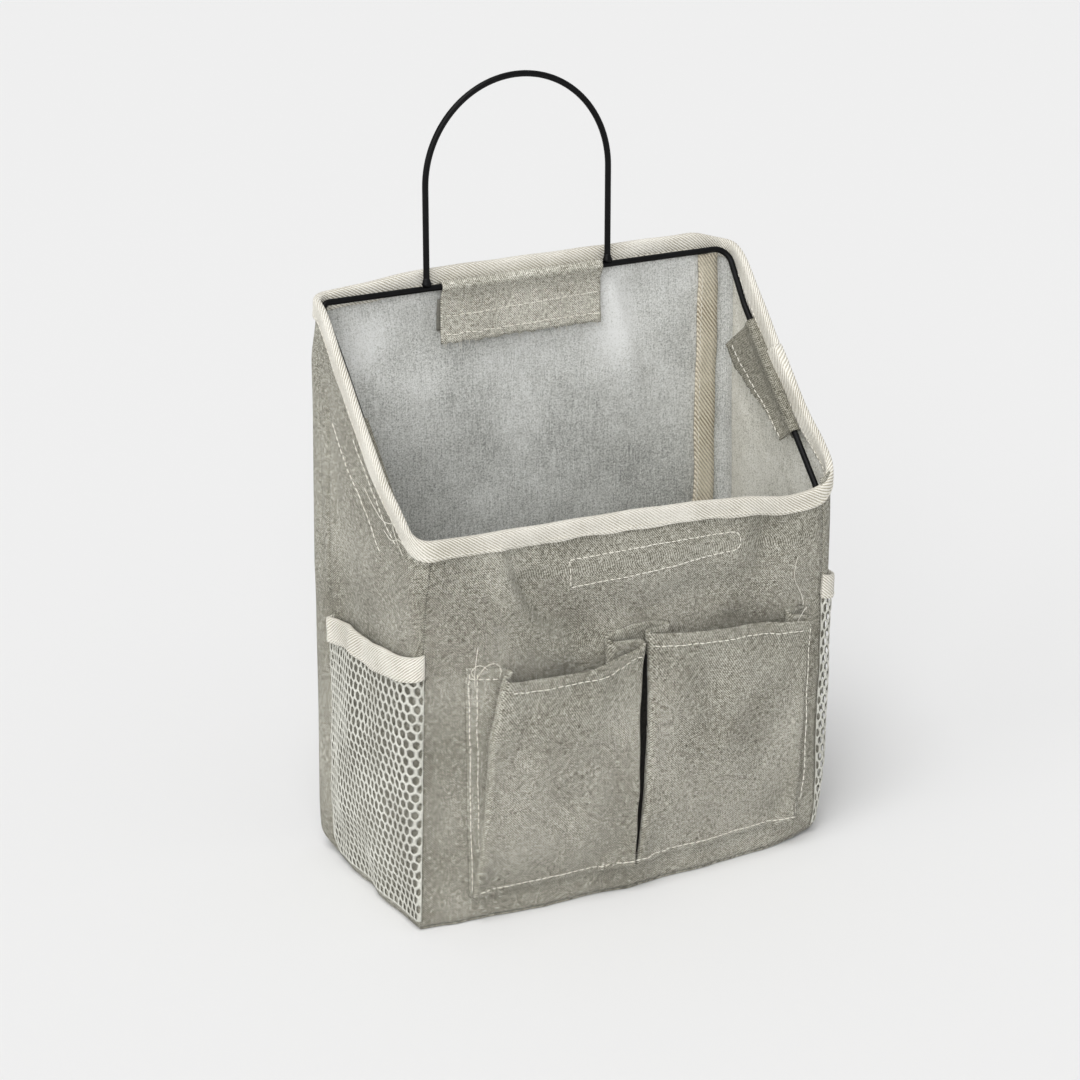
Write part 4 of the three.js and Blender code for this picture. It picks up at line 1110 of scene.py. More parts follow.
def bottom_tape():
    """The tape on the bottom seam lies flat on the bottom, inside the walls."""
    r, w = 8.0, 10.0
    x, y = HW - CLOTH - 1.2 - r, HD - CLOTH - 1.2 - r
    arcs = []
    for cx, cy, start in ((x, -y, -90), (x, y, 0), (-x, y, 90), (-x, -y, 180)):
        turn = np.radians(np.linspace(start, start + 90, 8))
        arcs.append(np.column_stack([np.full(8, cx), np.full(8, cy), np.cos(turn), np.sin(turn)]))
    corners = np.concatenate(arcs)
    dense = []
    for a, b in zip(corners, np.roll(corners, -1, 0)):
        steps = max(1, int(np.linalg.norm(b[:2] - a[:2] + r * (b[2:] - a[2:])) / 6))
        dense += [a + (b - a) * k / steps for k in range(steps)]
    dense = np.array(dense)
    normal = unit(dense[:, 2:])
    outer = dense[:, :2] + r * normal
    section = np.array(
        [(0, 1.6), (-w / 2, 1.65), (-w, 1.6), (-w - 0.1, 2.4)]
        + [(-w, 3.1), (-w / 2, 3.3), (0, 3.1), (0.1, 2.4)]
    )
    across, height = section.T
    rings = [np.column_stack([at + np.outer(across, n), height]) for at, n in zip(outer, normal)]
    uv = [[(run, d + 30) for d in across] for run in lengths(outer)]
    obj = loft("bottom_inner_tape", drape(np.array(rings)), np.array(uv), [SEAM_TAPE], True)
    riding(obj)
    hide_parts("bottom_seam_tape")


bottom_tape()


# Flaps. Each wraps its wire and hangs inside, and its loops meet the hooks on the wall.
HOOK_T, LOOP_T = 1.5, 1.2
HOOK_X = -BAR_OFFSET + GAP
LOOP_X = HOOK_X + HOOK_T + GAP
PLATE_X = LOOP_X + LOOP_T + GAP + 0.5
STRIP_W, STRIP_BELOW = 15.5, 7.0
CURL_ROWS = 20
SIDE_RUN = unit(np.array([0, KNEE_Y + BACK_BAR_Y, KNEE_Z - FRONT_BAR_Z]))
SIDE_UP = np.array([0, -SIDE_RUN[2], SIDE_RUN[1]])


def on_side_bar(side, y):
    return np.array([BAR_X[side], -BACK_BAR_Y, FRONT_BAR_Z]) + SIDE_RUN * (y + BACK_BAR_Y) / SIDE_RUN[1]


# ajar is in degrees. fold is 1 where the low end is folded short and turned in.
Flap = namedtuple("Flap", "word at inward up length drop ajar fold")
FLAPS = [
    Flap("back", (-7.5, BACK_BAR_Y, BACK_BAR_Z), (0, -1, 0), (0, 0, 1), 86.0, 28.0, 0.0, 0),
    Flap("front", (10.5, -BACK_BAR_Y, FRONT_BAR_Z), (0, 1, 0), (0, 0, 1), 91.0, 28.0, 0.0, 0),
    Flap("left", on_side_bar(-1, -13.0), (1, 0, 0), SIDE_UP, 61.0, 24.0, 0.0, 0),
    Flap("right", on_side_bar(1, 0.5), (-1, 0, 0), SIDE_UP, 61.0, 24.0, 8.0, 1),
]


def flap_place(flap, x, y, s, turn=0.0):
    """A point in the bag, from x inwards, y upwards and s along the wire, turned about the wire."""
    across = x * np.cos(turn) - y * np.sin(turn)
    above = x * np.sin(turn) + y * np.cos(turn)
    run = np.cross(flap.inward, flap.up)
    place = flap.at + np.multiply.outer(across, flap.inward) + np.multiply.outer(above, flap.up)
    return place + np.multiply.outer(s, run)


def turned_in(share, flap):
    return flap.fold * 24 * ease(1 - share, 0.35, 1.0)


def strip_width(share, flap):
    return STRIP_W - flap.fold * 14.4 * ease(1 - share, 0.1, 0.95)


def flap_section(drop):
    """The flap's middle line from behind the wire, over it and down."""
    radius = WIRE_R + GAP + 0.5
    curl = [(radius * math.cos(a), radius * math.sin(a)) for a in np.radians(np.linspace(150, -25, 18))]
    last_x, last_y = curl[-1]
    bend_y = last_y - (last_x - PLATE_X) / math.tan(math.radians(25))
    bend = [(PLATE_X + 0.35, bend_y + 0.9), (PLATE_X + 0.08, bend_y - 0.4)]
    plate = [(PLATE_X, y) for y in np.linspace(bend_y - 2.0, -drop, 12)]
    return np.array(curl + bend + plate)


def flap_cloth(flap, seed):
    source = np.random.default_rng(seed)
    count = int(flap.length / 1.1)
    outer, inner, uv = [], [], []
    fray = 0
    for i, s in enumerate(np.linspace(-flap.length / 2, flap.length / 2, count)):
        share = i / (count - 1)
        fray = 0.6 * fray + source.normal(0, 0.28)
        line = flap_section(flap.drop - flap.fold * 15 * ease(1 - share, 0.1, 0.95) + fray)
        run = tangents(line)
        normal = np.stack([-run[:, 1], run[:, 0]], -1)
        depth = np.clip(-line[:, 1] / flap.drop, 0, 1)
        sag = 0.5 * ripple(np.full(len(line), s), line[:, 1], 22, seed) * depth
        line = line + np.stack([np.maximum(sag, -0.15), 0 * sag], -1)
        turn = math.radians(flap.ajar + turned_in(share, flap)) * ease(depth, 0.0, 0.15)
        for grid, half in ((outer, 0.475), (inner, -0.475)):
            x, y = (line + normal * half).T
            edge = 0.25 * source.normal() if i in (0, count - 1) else 0.0
            grid.append(flap_place(flap, x, y, s + edge, turn))
        uv.append(np.stack([np.full(len(line), s), lengths(line)], -1))
    outer = np.array(outer)
    name = f"{flap.word}_leaf_cloth"
    # The back flap takes the linen with painted light, and the other flaps take the linen with painted shade.
    cloth = LINEN_PAINTED_LIGHT if flap.word == "back" else LINEN_PAINTED_SHADE
    obj = riding(shell(name, outer, np.array(inner), np.array(uv), [cloth]), f"{flap.word}_leaf")
    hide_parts(f"{flap.word}_flap")
    return outer


def clinging(points, word):
    """The same points, moved with the wall they are sewn to."""
    points = np.array(points, float)
    sign = -1 if word in ("left", "front") else 1
    axis, plain = (0, sign * HW) if word in ("left", "right") else (1, sign * HD)
    on_wall = points.copy()
    on_wall[:, axis] = plain
    points[:, axis] += drape(on_wall)[:, axis] - plain + (LEFT_PUSH if word == "left" else 0)
    return points


# A small hook leans from its foot: corners as x, y and run, and its six sides
HOOK_CORNERS = [(0, -0.32, -0.22), (0, 0.32, -0.22), (0, 0.32, 0.22), (0, -0.32, 0.22)]
HOOK_CORNERS += [(0.48, 0.05, -0.12), (0.48, 0.5, -0.12), (0.48, 0.5, 0.12), (0.48, 0.05, 0.12)]
HOOK_SIDES = np.array([(0, 1, 2, 3), (7, 6, 5, 4), (0, 4, 5, 1), (1, 5, 6, 2), (2, 6, 7, 3), (3, 7, 4, 0)])


def small_hooks(flap, foot_x, source):
    half, parts = flap.length / 2, []
    for row_s in np.arange(-half + 2, half - 1.5, 1.9):
        lowest = -STRIP_BELOW - strip_width(row_s / flap.length + 0.5, flap) + 1.5
        for row_y in np.arange(-STRIP_BELOW - 1.8, lowest, -1.9):
            y, s = row_y + source.normal(0, 0.12), row_s + source.normal(0, 0.12)
            points = np.array([flap_place(flap, foot_x + dx, y + dy, s + ds) for dx, dy, ds in HOOK_CORNERS])
            parts.append((points, facing_out(points, HOOK_SIDES).tolist()))
    return parts


def strip_band(flap, length, base_x, face, rough, turn, source):
    """A strip's tape, from its plain side at base_x to its open side, which lies face further in."""
    along_wire, down = np.linspace(-length / 2, length / 2, int(length / 1.6)), np.linspace(0, 1, 12)
    s, share = np.meshgrid(along_wire, down, indexing="ij")
    y = -STRIP_BELOW - strip_width(s / length + 0.5, flap) * share
    border = (np.abs(s) > length / 2 - 0.1) | (share < 0.01) | (share > 0.99)
    height = abs(face) + source.uniform(-rough, rough, s.shape) - 0.15 * border
    open_side, plain_side = base_x + math.copysign(1, face) * height, np.full(s.shape, base_x)
    angle = np.radians(turn(np.clip(s / length + 0.5, 0, 1)))
    layers = [flap_place(flap, x, y, s, angle) for x in (open_side, plain_side)]
    points = np.concatenate(layers).reshape(-1, 3)
    return points, facing_out(points, np.concatenate(sheet_faces(*s.shape))).tolist()


def loop_strip(flap, seed):
    def turn(share):
        return flap.ajar + turned_in(share, flap)

    source = np.random.default_rng(seed)
    band = strip_band(flap, flap.length - 1, LOOP_X + LOOP_T, -0.9 * LOOP_T, 0.09, turn, source)
    obj = riding(joined(f"{flap.word}_loops", [band], LOOPS), f"{flap.word}_leaf")
    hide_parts(f"{flap.word}_loop_strip")


def hook_strip(flap, seed):
    source = np.random.default_rng(seed)
    face = 0.72 * HOOK_T
    parts = [strip_band(flap, flap.length, HOOK_X, face, 0.0, np.zeros_like, source)]
    parts += small_hooks(flap, HOOK_X + face - 0.1, source)
    parts = [(clinging(points, flap.word), faces) for points, faces in parts]
    obj = riding(joined(f"{flap.word}_hooks", parts, HOOKS))
    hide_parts(f"{flap.word}_hook_strip")


def leaf_lines(flap, grid):
    """Stitch lines on a flap, from one height to another, as shares of the rows below the curl."""
    count, k = grid.shape[:2]
    lines = []
    for low, high in [(0.62, 0.7)] if flap.fold else [(0.24, 0.34), (0.78, 0.8)]:
        points, normals = [], []
        for i in range(int(count * 0.02), int(count * 0.98)):
            share = i / (count - 1)
            row = CURL_ROWS + (low + (high - low) * share) * (k - 1 - CURL_ROWS)
            j = min(int(row), k - 2)
            f = row - j
            points.append(grid[i, j] * (1 - f) + grid[i, j + 1] * f)
            a = grid[min(i + 1, count - 1), j] - grid[max(i - 1, 0), j]
            b = grid[i, min(j + 1, k - 1)] - grid[i, max(j - 1, 0)]
            normals.append(unit(np.cross(a, b)))
        normals = np.array(normals)
        sign = np.sign(normals @ np.asarray(flap.inward, float))
        lines.append((np.array(points), normals * np.where(sign == 0, 1, sign)[:, None]))
    return lines


def leaf_thread(flap, grid, seed):
    """The flap's stitching, and the loose ends of thread along its raw lower edge."""
    parts = []
    for points, normals in leaf_lines(flap, grid):
        parts += stitch_parts(points + normals * 0.1, normals, 2.9)
    source = np.random.default_rng(seed)
    edge = grid[:, -1]
    down = unit(grid[:, -1] - grid[:, -3])
    for i in source.choice(np.arange(1, len(edge) - 1), 16, replace=False):
        reach = source.uniform(0.8, 3.0)
        lean = source.normal(0, 0.5, 3)
        middle = edge[i] + down[i] * reach * 0.5 + lean * 0.4
        end = edge[i] + down[i] * reach * 0.9 + lean * 1.2
        parts.append(thread_part([edge[i] - down[i] * 0.8, middle, end], 0.1, 8))
    riding(joined(f"{flap.word}_leaf_thread", parts, THREAD), f"{flap.word}_leaf")


for index, flap in enumerate(FLAPS):
    leaf = flap_cloth(flap, 20 + index)
    loop_strip(flap, 40 + index)
    hook_strip(flap, 50 + index)
    leaf_thread(flap, leaf, 60 + index)

# Front pockets. One strip is folded into two pockets, with a slit between them. The tables give a
# value by the share of the height, and the tops give a height by the share of the width.
POCKET_LEFT, POCKET_RIGHT, POCKET_LOW = -88.0, 94.5, 13.5
SLIT_TOP, SLIT_LOW, POCKET_DEPTH = 2.5, -4.0, 9.0
PANEL_Y = -HD - GAP - CLOTH / 2
HEM_SHARE = 0.952
SLIT_WIDTH = ([0, 0.25, 0.5, 0.62, 0.72, 0.79, 0.88, 0.95, 1], [2.2, 4.2, 5.2, 5.8, 5.6, 5.3, 4.4, 3.3, 2.6])
LEFT_EDGE_INSET = ([0, 0.45, 0.72, 0.9, 1], [1, 6.5, 8.5, 13, 16])
LEFT_FACE_TOP = ([0, 0.13, 0.33, 0.6, 0.76, 0.9, 1], [121, 119, 118.5, 119.2, 121, 122.7, 125.5])
RIGHT_FACE_TOP = ([0, 0.06, 0.25, 0.42, 0.7, 1], [130, 128.5, 126.8, 125.6, 123.6, 119.8])
PLEAT_TOP = ([0, 0.25, 0.5, 0.75, 1], [129.6, 131.3, 132.3, 132.0, 130.6])
DEPTH_POINTS = [(0, 0), (0.04, 0.1), (0.22, 0.6), (0.4, 0.78), (0.6, 0.9), (0.8, 0.97), (1, 1)]
DEPTH_CURVE = smooth_table(DEPTH_POINTS, 0.02)


def slit_at(t):
    return SLIT_LOW + (SLIT_TOP - SLIT_LOW) * t


def bend_corner(a, b, c, r):
    into, onto = b - a, c - b
    before, after = np.linalg.norm(into), np.linalg.norm(onto)
    p = b - into / before * min(r, before * 0.45)
    q = b + onto / after * min(r, after * 0.45)
    t = np.linspace(0, 1, 5)[:, None]
    return (1 - t) ** 2 * p + 2 * t * (1 - t) * b + t**2 * q


def pocket_face(t, start, end, fold_y, open_y, tops, stand):
    """The front layer of one pocket, which stands out between its two folds."""
    share = np.linspace(0, 1, 24)
    inner = share[1:-1]
    swell = 0.9 * np.sin(math.pi * inner) * stand
    edge = np.minimum(np.minimum(inner, 1 - inner) * 9, 1)
    wrinkle = 0.6 * ripple(start + (end - start) * inner, np.full(22, 100.0 * t), 34, 31) * stand
    y = fold_y + (open_y - fold_y) * ease(edge) - swell - wrinkle * edge
    y = np.concatenate([[fold_y], y, [fold_y]])
    return list(zip(start + (end - start) * share, y, np.interp(share, *tops)))


def pocket_plan(t):
    """The strip's line in plan at a share of its height, with rounded folds, and its top's height there."""
    stand = float(np.interp(t, *DEPTH_CURVE))
    least = CLOTH + 0.5
    layer = least + (POCKET_DEPTH / 2 - least) * stand
    pleat_y, fold_y, open_y = PANEL_Y - layer, PANEL_Y - 2 * layer, PANEL_Y - POCKET_DEPTH * stand
    left_pleat = POCKET_LEFT + 16 + 5 * t
    left_edge = POCKET_LEFT + float(np.interp(t, *LEFT_EDGE_INSET))
    half_slit = float(np.interp(t, *SLIT_WIDTH)) / 2
    slit_left, slit_right = slit_at(t) - half_slit, slit_at(t) + half_slit
    right_edge = 89 + 5.2 * t
    right_pleat = right_edge - 10
    points = [(POCKET_LEFT, PANEL_Y, 127.5), (left_pleat, PANEL_Y, 123.8)]
    points += [(left_pleat, pleat_y, 123.6), (left_edge, pleat_y, 122)]
    points += pocket_face(t, left_edge, slit_left, fold_y, open_y, LEFT_FACE_TOP, stand)
    points += [(slit_left, pleat_y, 126.5), (slit_left - 16, pleat_y, 127.4)]
    for share, top in zip(*PLEAT_TOP):
        points.append((slit_left - 16 + (slit_right - slit_left + 29) * share, PANEL_Y, top))
    points += [(slit_right + 13, pleat_y, 130.4), (slit_right, pleat_y, 130)]
    points += pocket_face(t, slit_right, right_edge, fold_y, open_y, RIGHT_FACE_TOP, stand)
    points += [(right_edge, pleat_y, 121), (right_pleat, pleat_y, 123.4)]
    points += [(right_pleat, PANEL_Y, 124.2), (POCKET_RIGHT, PANEL_Y, 124.6)]
    points = [np.array(p, float) for p in points]
    line = [points[0]]
    for a, b, c in zip(points[:-2], points[1:-1], points[2:]):
        sharp = unit(b - a)[:2] @ unit(c - b)[:2] < 0.9
        line += list(bend_corner(a, b, c, layer * 0.5 if sharp else 0.4))
    line = np.array(line + [points[-1]])
    return line[:, :2], line[:, 2]


def pocket_height(t, top):
    return POCKET_LOW + (top - POCKET_LOW) * t


def pockets():
    shares = np.linspace(0, 1, 64)
    rings, uv = [], []
    for t in shares:
        line, tops = pocket_plan(t)
        run = tangents(line)
        normal = np.stack([-run[:, 1], run[:, 0]], -1)
        height = pocket_height(t, tops)
        half = 0.55 + (0.22 * float(ease(t, 0.945, 0.955)) - 0.08 * float(ease(t, 0.99, 1.0)))
        outside = np.column_stack([line + normal * half, height])
        inside = np.column_stack([line - normal * half, height])
        rings.append(np.concatenate([outside, inside[::-1]]))
        flat = np.stack([lengths(line), height], -1)
        uv.append(np.concatenate([flat, flat[::-1]]))
    rings = np.array(rings)
    # The faces marked dark, on the pleats' hidden layers beside the slit, take the near-black painted fold
    # shadow.
    behind = rings[..., 1] > PANEL_Y - 0.75 * POCKET_DEPTH * np.interp(shares, *DEPTH_CURVE)[:, None]
    dark = behind & (np.abs(rings[..., 0] - slit_at(shares)[:, None]) < 17) & (shares[:, None] < 0.9)
    dark = (dark & np.roll(dark, -1, 1))[:-1].ravel()
    dark = np.concatenate([dark, np.zeros(2 * (rings.shape[1] // 2 - 1), bool)])
    obj = loft("pocket_strip", drape(rings), np.array(uv), [LINEN, LINEN_PAINTED_FOLD_SHADOW], face_materials=dark)
    riding(obj)
    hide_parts("front_pockets")


def pocket_line(places):
    """A line on the outside of the pockets' front layer, through x and shares of the height."""
    result = []
    for x, t in places:
        line, tops = pocket_plan(t)
        near = np.where(np.abs(line[:, 0] - x) < 3.5, line[:, 1], 0.0)
        at = int(np.argmin(near))
        result.append(((x, near[at] - 0.75, pocket_height(t, tops[at])), (0, -1, 0)))
    return surface_line(result)


def margin_line(places):
    """A line on the strip's left margin, through distances from its end and shares of the height."""
    result = []
    for dx, t in places:
        top = np.interp(dx, [0, 20], [127.5, 123.8])
        result.append(((POCKET_LEFT + dx, -HD - GAP - CLOTH, pocket_height(t, top)), (0, -1, 0)))
    return surface_line(result)


# The stitched outline of the hook strip that is sewn to the inside of the front
HOOK_OUTLINE = [(-34, 169.6), (10, 170.2), (53, 168.8), (56.4, 167.5), (57.6, 164.5)]
HOOK_OUTLINE += [(57.2, 161.2), (55, 159.6), (11, 157.3), (-33.4, 156.2), (-34, 169.6)]


def seam_stitching():
    rows = [(POCKET_LEFT + 18, slit_at(1) - 3, HEM_SHARE, 40)]
    rows += [(slit_at(1) + 3, POCKET_RIGHT - 5, HEM_SHARE, 40)]
    rows += [(POCKET_LEFT + 3, POCKET_RIGHT - 4, 0.03, 80)]
    lines = [pocket_line([(x, t) for x in np.linspace(start, end, count)]) for start, end, t, count in rows]
    lines += [pocket_line([(POCKET_RIGHT - 1.4, t) for t in np.linspace(0.02, 0.97, 60)])]
    lines += [margin_line([(dx, t) for t in np.linspace(0.02, 0.98, 60)]) for dx in (1.2, 5.0)]
    lines += [margin_line([(dx, 0.955) for dx in np.linspace(1, 16, 10)])]
    lines += [front_line(HOOK_OUTLINE, 160)]
    lines += [side_line([(5.5, 224.5), (-8, 209.5), (-23, 195), (-35, 186)], -1)]
    lines += [side_line([(28, 226), (-20, 178)], -1), side_line([(24, 245), (-22, 200)], 1)]
    stitches = [part for line, outward in lines for part in stitch_parts(line, outward)]
    riding(joined("seam_stitching", stitches, THREAD))


# Loose threads: points across and up the front, or along and up the left side, each with its
# distance off the cloth, and the thread's radius
FRONT_THREADS = [
    ([(-84, 116, 1.8), (-84.5, 124, 1.9), (-84.2, 131, 2.2), (-83.5, 138, 2.6)], 0.17),
    ([(-84, 121, 2), (-80, 127.5, 2.5), (-75, 128.5, 3), (-72, 125, 3.2), (-73, 121.5, 3.5)], 0.17),
    ([(-84, 122, 2), (-86.5, 126, 2.5), (-83, 129, 3), (-79, 126.5, 3.4)], 0.17),
    ([(90, 150, 0.4), (88.6, 143, 0.5), (89.8, 137, 0.6), (93.5, 131, 0.8), (94, 126, 3)], 0.14),
    ([(84, 119, 9.8), (88, 124.5, 9.5), (92, 126.5, 8), (95, 123, 4)], 0.14),
    ([(-79.5, 62, 1.9), (-77, 60, 2.4), (-74.5, 57.5, 3)], 0.14),
]
LEFT_THREADS = [
    ([(-5, 204, 0.3), (-16, 197.5, 0.5), (-26, 194.5, 0.8), (-37, 196.5, 0.5)], 0.17),
    ([(-30, 206, 0.4), (-32, 198, 0.6), (-36, 190, 0.6), (-41, 183, 0.4)], 0.14),
    ([(-24, 190, 0.3), (-33, 188, 1.2), (-40, 190, 1.4), (-44, 187, 0.6)], 0.14),
]


def loose_threads():
    parts = []
    for points, radius in FRONT_THREADS:
        parts.append(thread_part([drape((x, -HD - off, z)) for x, z, off in points], radius))
    for points, radius in LEFT_THREADS:
        parts.append(thread_part([drape((-HW - off, y, z)) for y, z, off in points], radius))
    riding(joined("loose_threads", parts, THREAD))


pockets()
seam_stitching()
loose_threads()

# Side nets. Each is knitted in rows of hexagonal cells, y runs round the front corner, and a tape
# binds the top.
NET_LOW, NET_BACK_TOP, NET_FRONT_TOP = 5.0, 130.0, 137.0
NET_FRONT, NET_BACK = -HD, SEAM_Y
NET_BULGE = {-1: 4.6, 1: 3.0}
NET_GATHER, NET_GATHER_REACH = 0.7, 0.12
NET_SEAT, NET_FRONT_SEAT = 2.3, {-1: 0.7, 1: 0.25}
NET_CORNER = 9.0
PITCH_Y, ROW_Z = 3.95, 4.35
STRAND, FILLED_STRAND = 0.34, 0.35
HOLE_HALF_WIDTH, HOLE_HALF_HEIGHT, HOLE_MARGIN = 1.2, 2.1, 0.75
LEAST_CELL, LEAST_HOLE = 0.05, 1.8


def net_top(y):
    return NET_FRONT_TOP + (NET_BACK_TOP - NET_FRONT_TOP) * (y - NET_FRONT) / (NET_BACK - NET_FRONT)


def net_stand(y, z, side):
    """How far the net stands off the wall: little at the front seam, most in the middle."""
    share = (y - NET_FRONT) / (NET_BACK - NET_FRONT)
    height = (z - NET_LOW) / (net_top(y) - NET_LOW)
    ramp = ease(height, 0, 0.3)
    seat = NET_FRONT_SEAT[side] + (NET_SEAT - NET_FRONT_SEAT[side]) * ease(share, 0, 0.15) * ramp
    bulge = NET_BULGE[side] * (1 - np.abs(2 * share - 1) ** 2.6)
    return seat + bulge * ramp * (1 - 0.6 * ease(height, 0.6, 1))


def net_place(y, z, off, side):
    """A point at a distance off the plain side wall, and the wall's normal there."""
    y, z = np.asarray(y, float), np.asarray(z, float)
    r = corner_radius(z, side)
    share = (y - NET_FRONT) / (NET_BACK - NET_FRONT)
    share = share - NET_GATHER * share * np.exp(-share / NET_GATHER_REACH)
    run = share * (math.pi / 2 * r + SEAM_Y + HD - r)
    angle = np.minimum(run / r, math.pi / 2)
    nx, ny = np.sin(angle), -np.cos(angle)
    px = HW - r + r * nx + off * nx
    py = -HD + r + r * ny + np.maximum(run - math.pi / 2 * r, 0) + off * ny
    return np.stack([side * px, py, z], -1), np.stack([side * nx, ny, 0 * z], -1)


def net_point(y, z, lift, side):
    stand = net_stand(y, z, side) + 0.35 * ripple(y, z, 38, 71 + side) * ease(z, 6, 30) * ease(y, -48, -36)
    return drape(net_place(y, z, stand + lift, side)[0])


def inside_net(y, z, pad):
    """The nearest point to a place that is inside the net by a pad. The low back corner is round."""
    low_y, high_y = NET_FRONT + pad + 0.2, NET_BACK - pad - 0.2
    low_z, r = NET_LOW + pad, NET_CORNER
    y, z = min(max(y, low_y), high_y), min(max(z, low_z), net_top(y) - 2.0 - pad)
    if y > high_y - r and z < low_z + r:
        dy, dz = y - (high_y - r), z - (low_z + r)
        distance = math.hypot(dy, dz)
        if distance > r:
            y, z = high_y - r + dy * r / distance, low_z + r + dz * r / distance
    return y, z


def area(loop):
    return 0.5 * abs(sum(a[0] * b[1] - b[0] * a[1] for a, b in zip(loop, loop[1:] + loop[:1])))


def without_spikes(loop):
    """A loop of points without the places where it goes out and straight back."""
    while True:
        for i in range(len(loop)):
            if loop[i - 1] == loop[(i + 1) % len(loop)]:
                drop = {i, (i + 1) % len(loop)}
                loop = [k for j, k in enumerate(loop) if j not in drop]
                break
        else:
            return loop


# A hole's outline is between a hexagon's and an oval's.
HEXAGON = [(0, 1), (0.5, 0.75), (1, 0.5), (1, 0), (1, -0.5), (0.5, -0.75)]
HEXAGON += [(0, -1), (-0.5, -0.75), (-1, -0.5), (-1, 0), (-1, 0.5), (-0.5, 0.75)]
OVAL = [(math.sin(q * math.pi / 6), math.cos(q * math.pi / 6)) for q in range(12)]
HOLE_SHAPE = [(0.7 * a + 0.3 * c, 0.7 * b + 0.3 * d) for (a, b), (c, d) in zip(HEXAGON, OVAL)]


def net_cells():
    """The cells: each one's outline of 12 points, and its hole where that is large enough."""
    p, h = PITCH_Y / 2, ROW_Z
    corners = [(0, 2 * h / 3), (p, h / 3), (p, -h / 3), (0, -2 * h / 3), (-p, -h / 3), (-p, h / 3)]
    rim = []
    for a, b in zip(corners, corners[1:] + corners[:1]):
        rim += [a, ((a[0] + b[0]) / 2, (a[1] + b[1]) / 2)]
    cells = []
    for j in range(-1, int((NET_FRONT_TOP - NET_LOW) / ROW_Z) + 1):
        for i in range(-1, int((NET_BACK - NET_FRONT) / PITCH_Y) + 3):
            y = NET_FRONT + (i + 0.5 * (j % 2)) * PITCH_Y
            z = NET_LOW + 2.0 + j * ROW_Z
            outer = [inside_net(y + a, z + b, 0.0) for a, b in rim]
            if area(outer) < LEAST_CELL:
                continue
            slant = 0.25 * math.sin(y / 17 + z / 29)
            wide = HOLE_HALF_WIDTH + 0.12 * math.sin(y * 1.7 + z * 0.9)
            tall = HOLE_HALF_HEIGHT + 0.16 * math.sin(y * 0.8 - z * 1.3)
            hole = [inside_net(y + wide * a + slant * b, z + tall * b, HOLE_MARGIN) for a, b in HOLE_SHAPE]
            cells.append((outer, hole if area(hole) > LEAST_HOLE else None))
    return cells


def fix_normals(obj):
    b = bmesh.new()
    b.from_mesh(obj.data)
    bmesh.ops.remove_doubles(b, verts=b.verts, dist=0.000001)
    bmesh.ops.recalc_face_normals(b, faces=b.faces)
    b.to_mesh(obj.data)
    b.free()


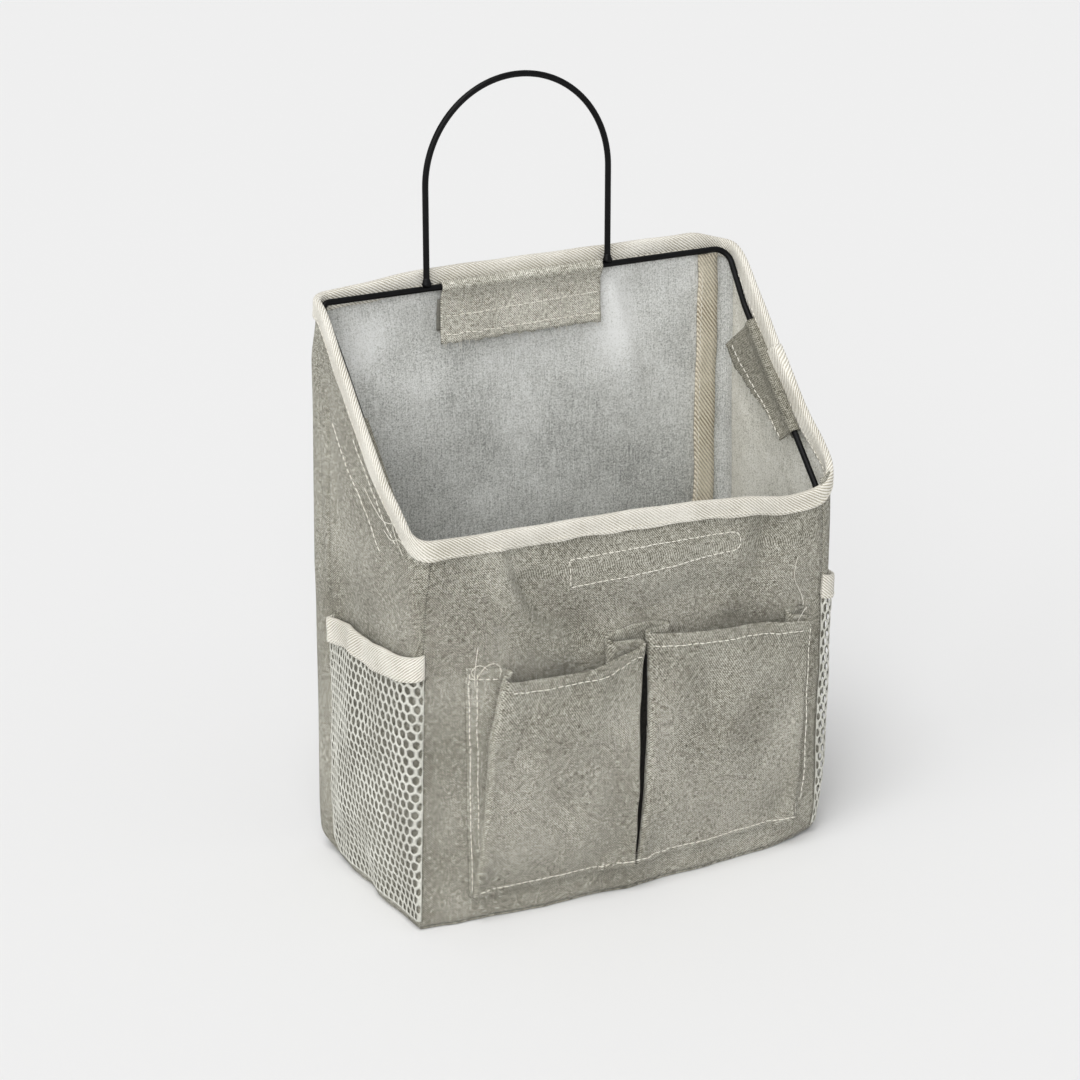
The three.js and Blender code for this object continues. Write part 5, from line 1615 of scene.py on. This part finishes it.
def side_net(side, word):
    """Every cell has an outer and an under layer that meet at its hole. A cell without one is filled."""
    numbers, flat = {}, []

    def number(y, z):
        key = (round(y + 0.00031, 3), round(z + 0.00031, 3))
        if key not in numbers:
            numbers[key] = len(flat)
            flat.append((y, z))
        return numbers[key]

    loops, borders = [], set()
    for outer, hole in net_cells():
        ids = [number(y, z) for y, z in outer]
        plain = [a for a, b in zip(ids, ids[-1:] + ids[:-1]) if a != b]
        loop = without_spikes(plain)
        loops.append((ids if loop == plain and hole else loop, hole if loop == plain else None))
        borders.update(zip(loop, loop[1:] + loop[:1]))
    total = len(flat)
    faces, middle = [], []
    for ids, hole in loops:
        start = 2 * total + len(middle)
        if hole is None:
            centre = np.mean([flat[k] for k in ids], axis=0)
            middle += [(*centre, FILLED_STRAND), (*centre, -FILLED_STRAND)]
            for a, b in zip(ids, ids[1:] + ids[:1]):
                faces += [(a, b, start), (b + total, a + total, start + 1)]
            continue
        middle += [(*point, 0.0) for point in hole]
        for q in range(12):
            a, b = ids[q], ids[(q + 1) % 12]
            c, d = start + q, start + (q + 1) % 12
            if a == b:
                faces += [(a, d, c), (a + total, c, d)]
            else:
                faces += [(a, b, d, c), (b + total, a + total, c, d)]
    faces += [(b, a, a + total, b + total) for a, b in borders if (b, a) not in borders]
    y, z = np.array(flat).T
    layers = [net_point(y, z, STRAND, side), net_point(y, z, -STRAND, side)]
    middle_y, middle_z, lift = np.array(middle).T
    layers.append(net_point(middle_y, middle_z, lift, side))
    obj = mesh_object(f"{word}_mesh_pocket", np.concatenate(layers), faces, None, [NETTING])
    fix_normals(obj)
    riding(obj)
    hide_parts(f"{word}_net")


NET_SECTION = [(1.5, -11.4), (1.66, -11.0), (1.62, -8.0), (1.7, -4.0), (1.6, -0.6), (1.2, 0.5), (0.4, 0.9)]
NET_SECTION += [(-0.4, 0.9), (-1.2, 0.5), (-1.55, -0.6), (-1.5, -4.0)]
NET_SECTION += [(-1.5, -8.0), (-1.55, -11.0), (-1.4, -11.4)]
NET_INNER = [(-0.7, -11.4), (-0.65, -11.0), (-0.65, -8.0), (-0.65, -4.0)]
NET_INNER += [(-0.65, -1.2), (-0.5, -0.6), (-0.2, -0.3)]
NET_ENDS = {-1: 0.6, 1: 0.4}


def net_tape(side, word):
    y = np.linspace(NET_FRONT + 0.2, NET_BACK - 0.2, 60)
    top = net_top(y) - 1.0 + 0.5 * np.sin(y / 11) + 0.35 * np.sin(y / 4.7)
    stand = net_stand(y, top, side)
    frames = (*net_place(y, top, stand, side), np.tile([0.0, 0.0, 1.0], (len(y), 1)))
    thin = NET_ENDS[side] + (1 - NET_ENDS[side]) * ease(y, NET_FRONT + 2, NET_FRONT + 20)
    section = NET_SECTION + mirrored(NET_INNER)
    tape = tape_loft(f"{word}_mesh_tape", frames, section, 0.15, 2 + side, thin=thin)
    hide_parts(f"{word}_net_binding")
    sewn, outward = net_place(y[1:-1], top[1:-1] - 9.6, stand[1:-1] + 1.65, side)
    parts = stitch_parts(*surface_line(zip(sewn, outward), 0.05), 2.4, 0.7, 0.18)
    riding(joined(f"{word}_mesh_stitching", parts, THREAD))


for side, word in ((-1, "left"), (1, "right")):
    side_net(side, word)
    net_tape(side, word)
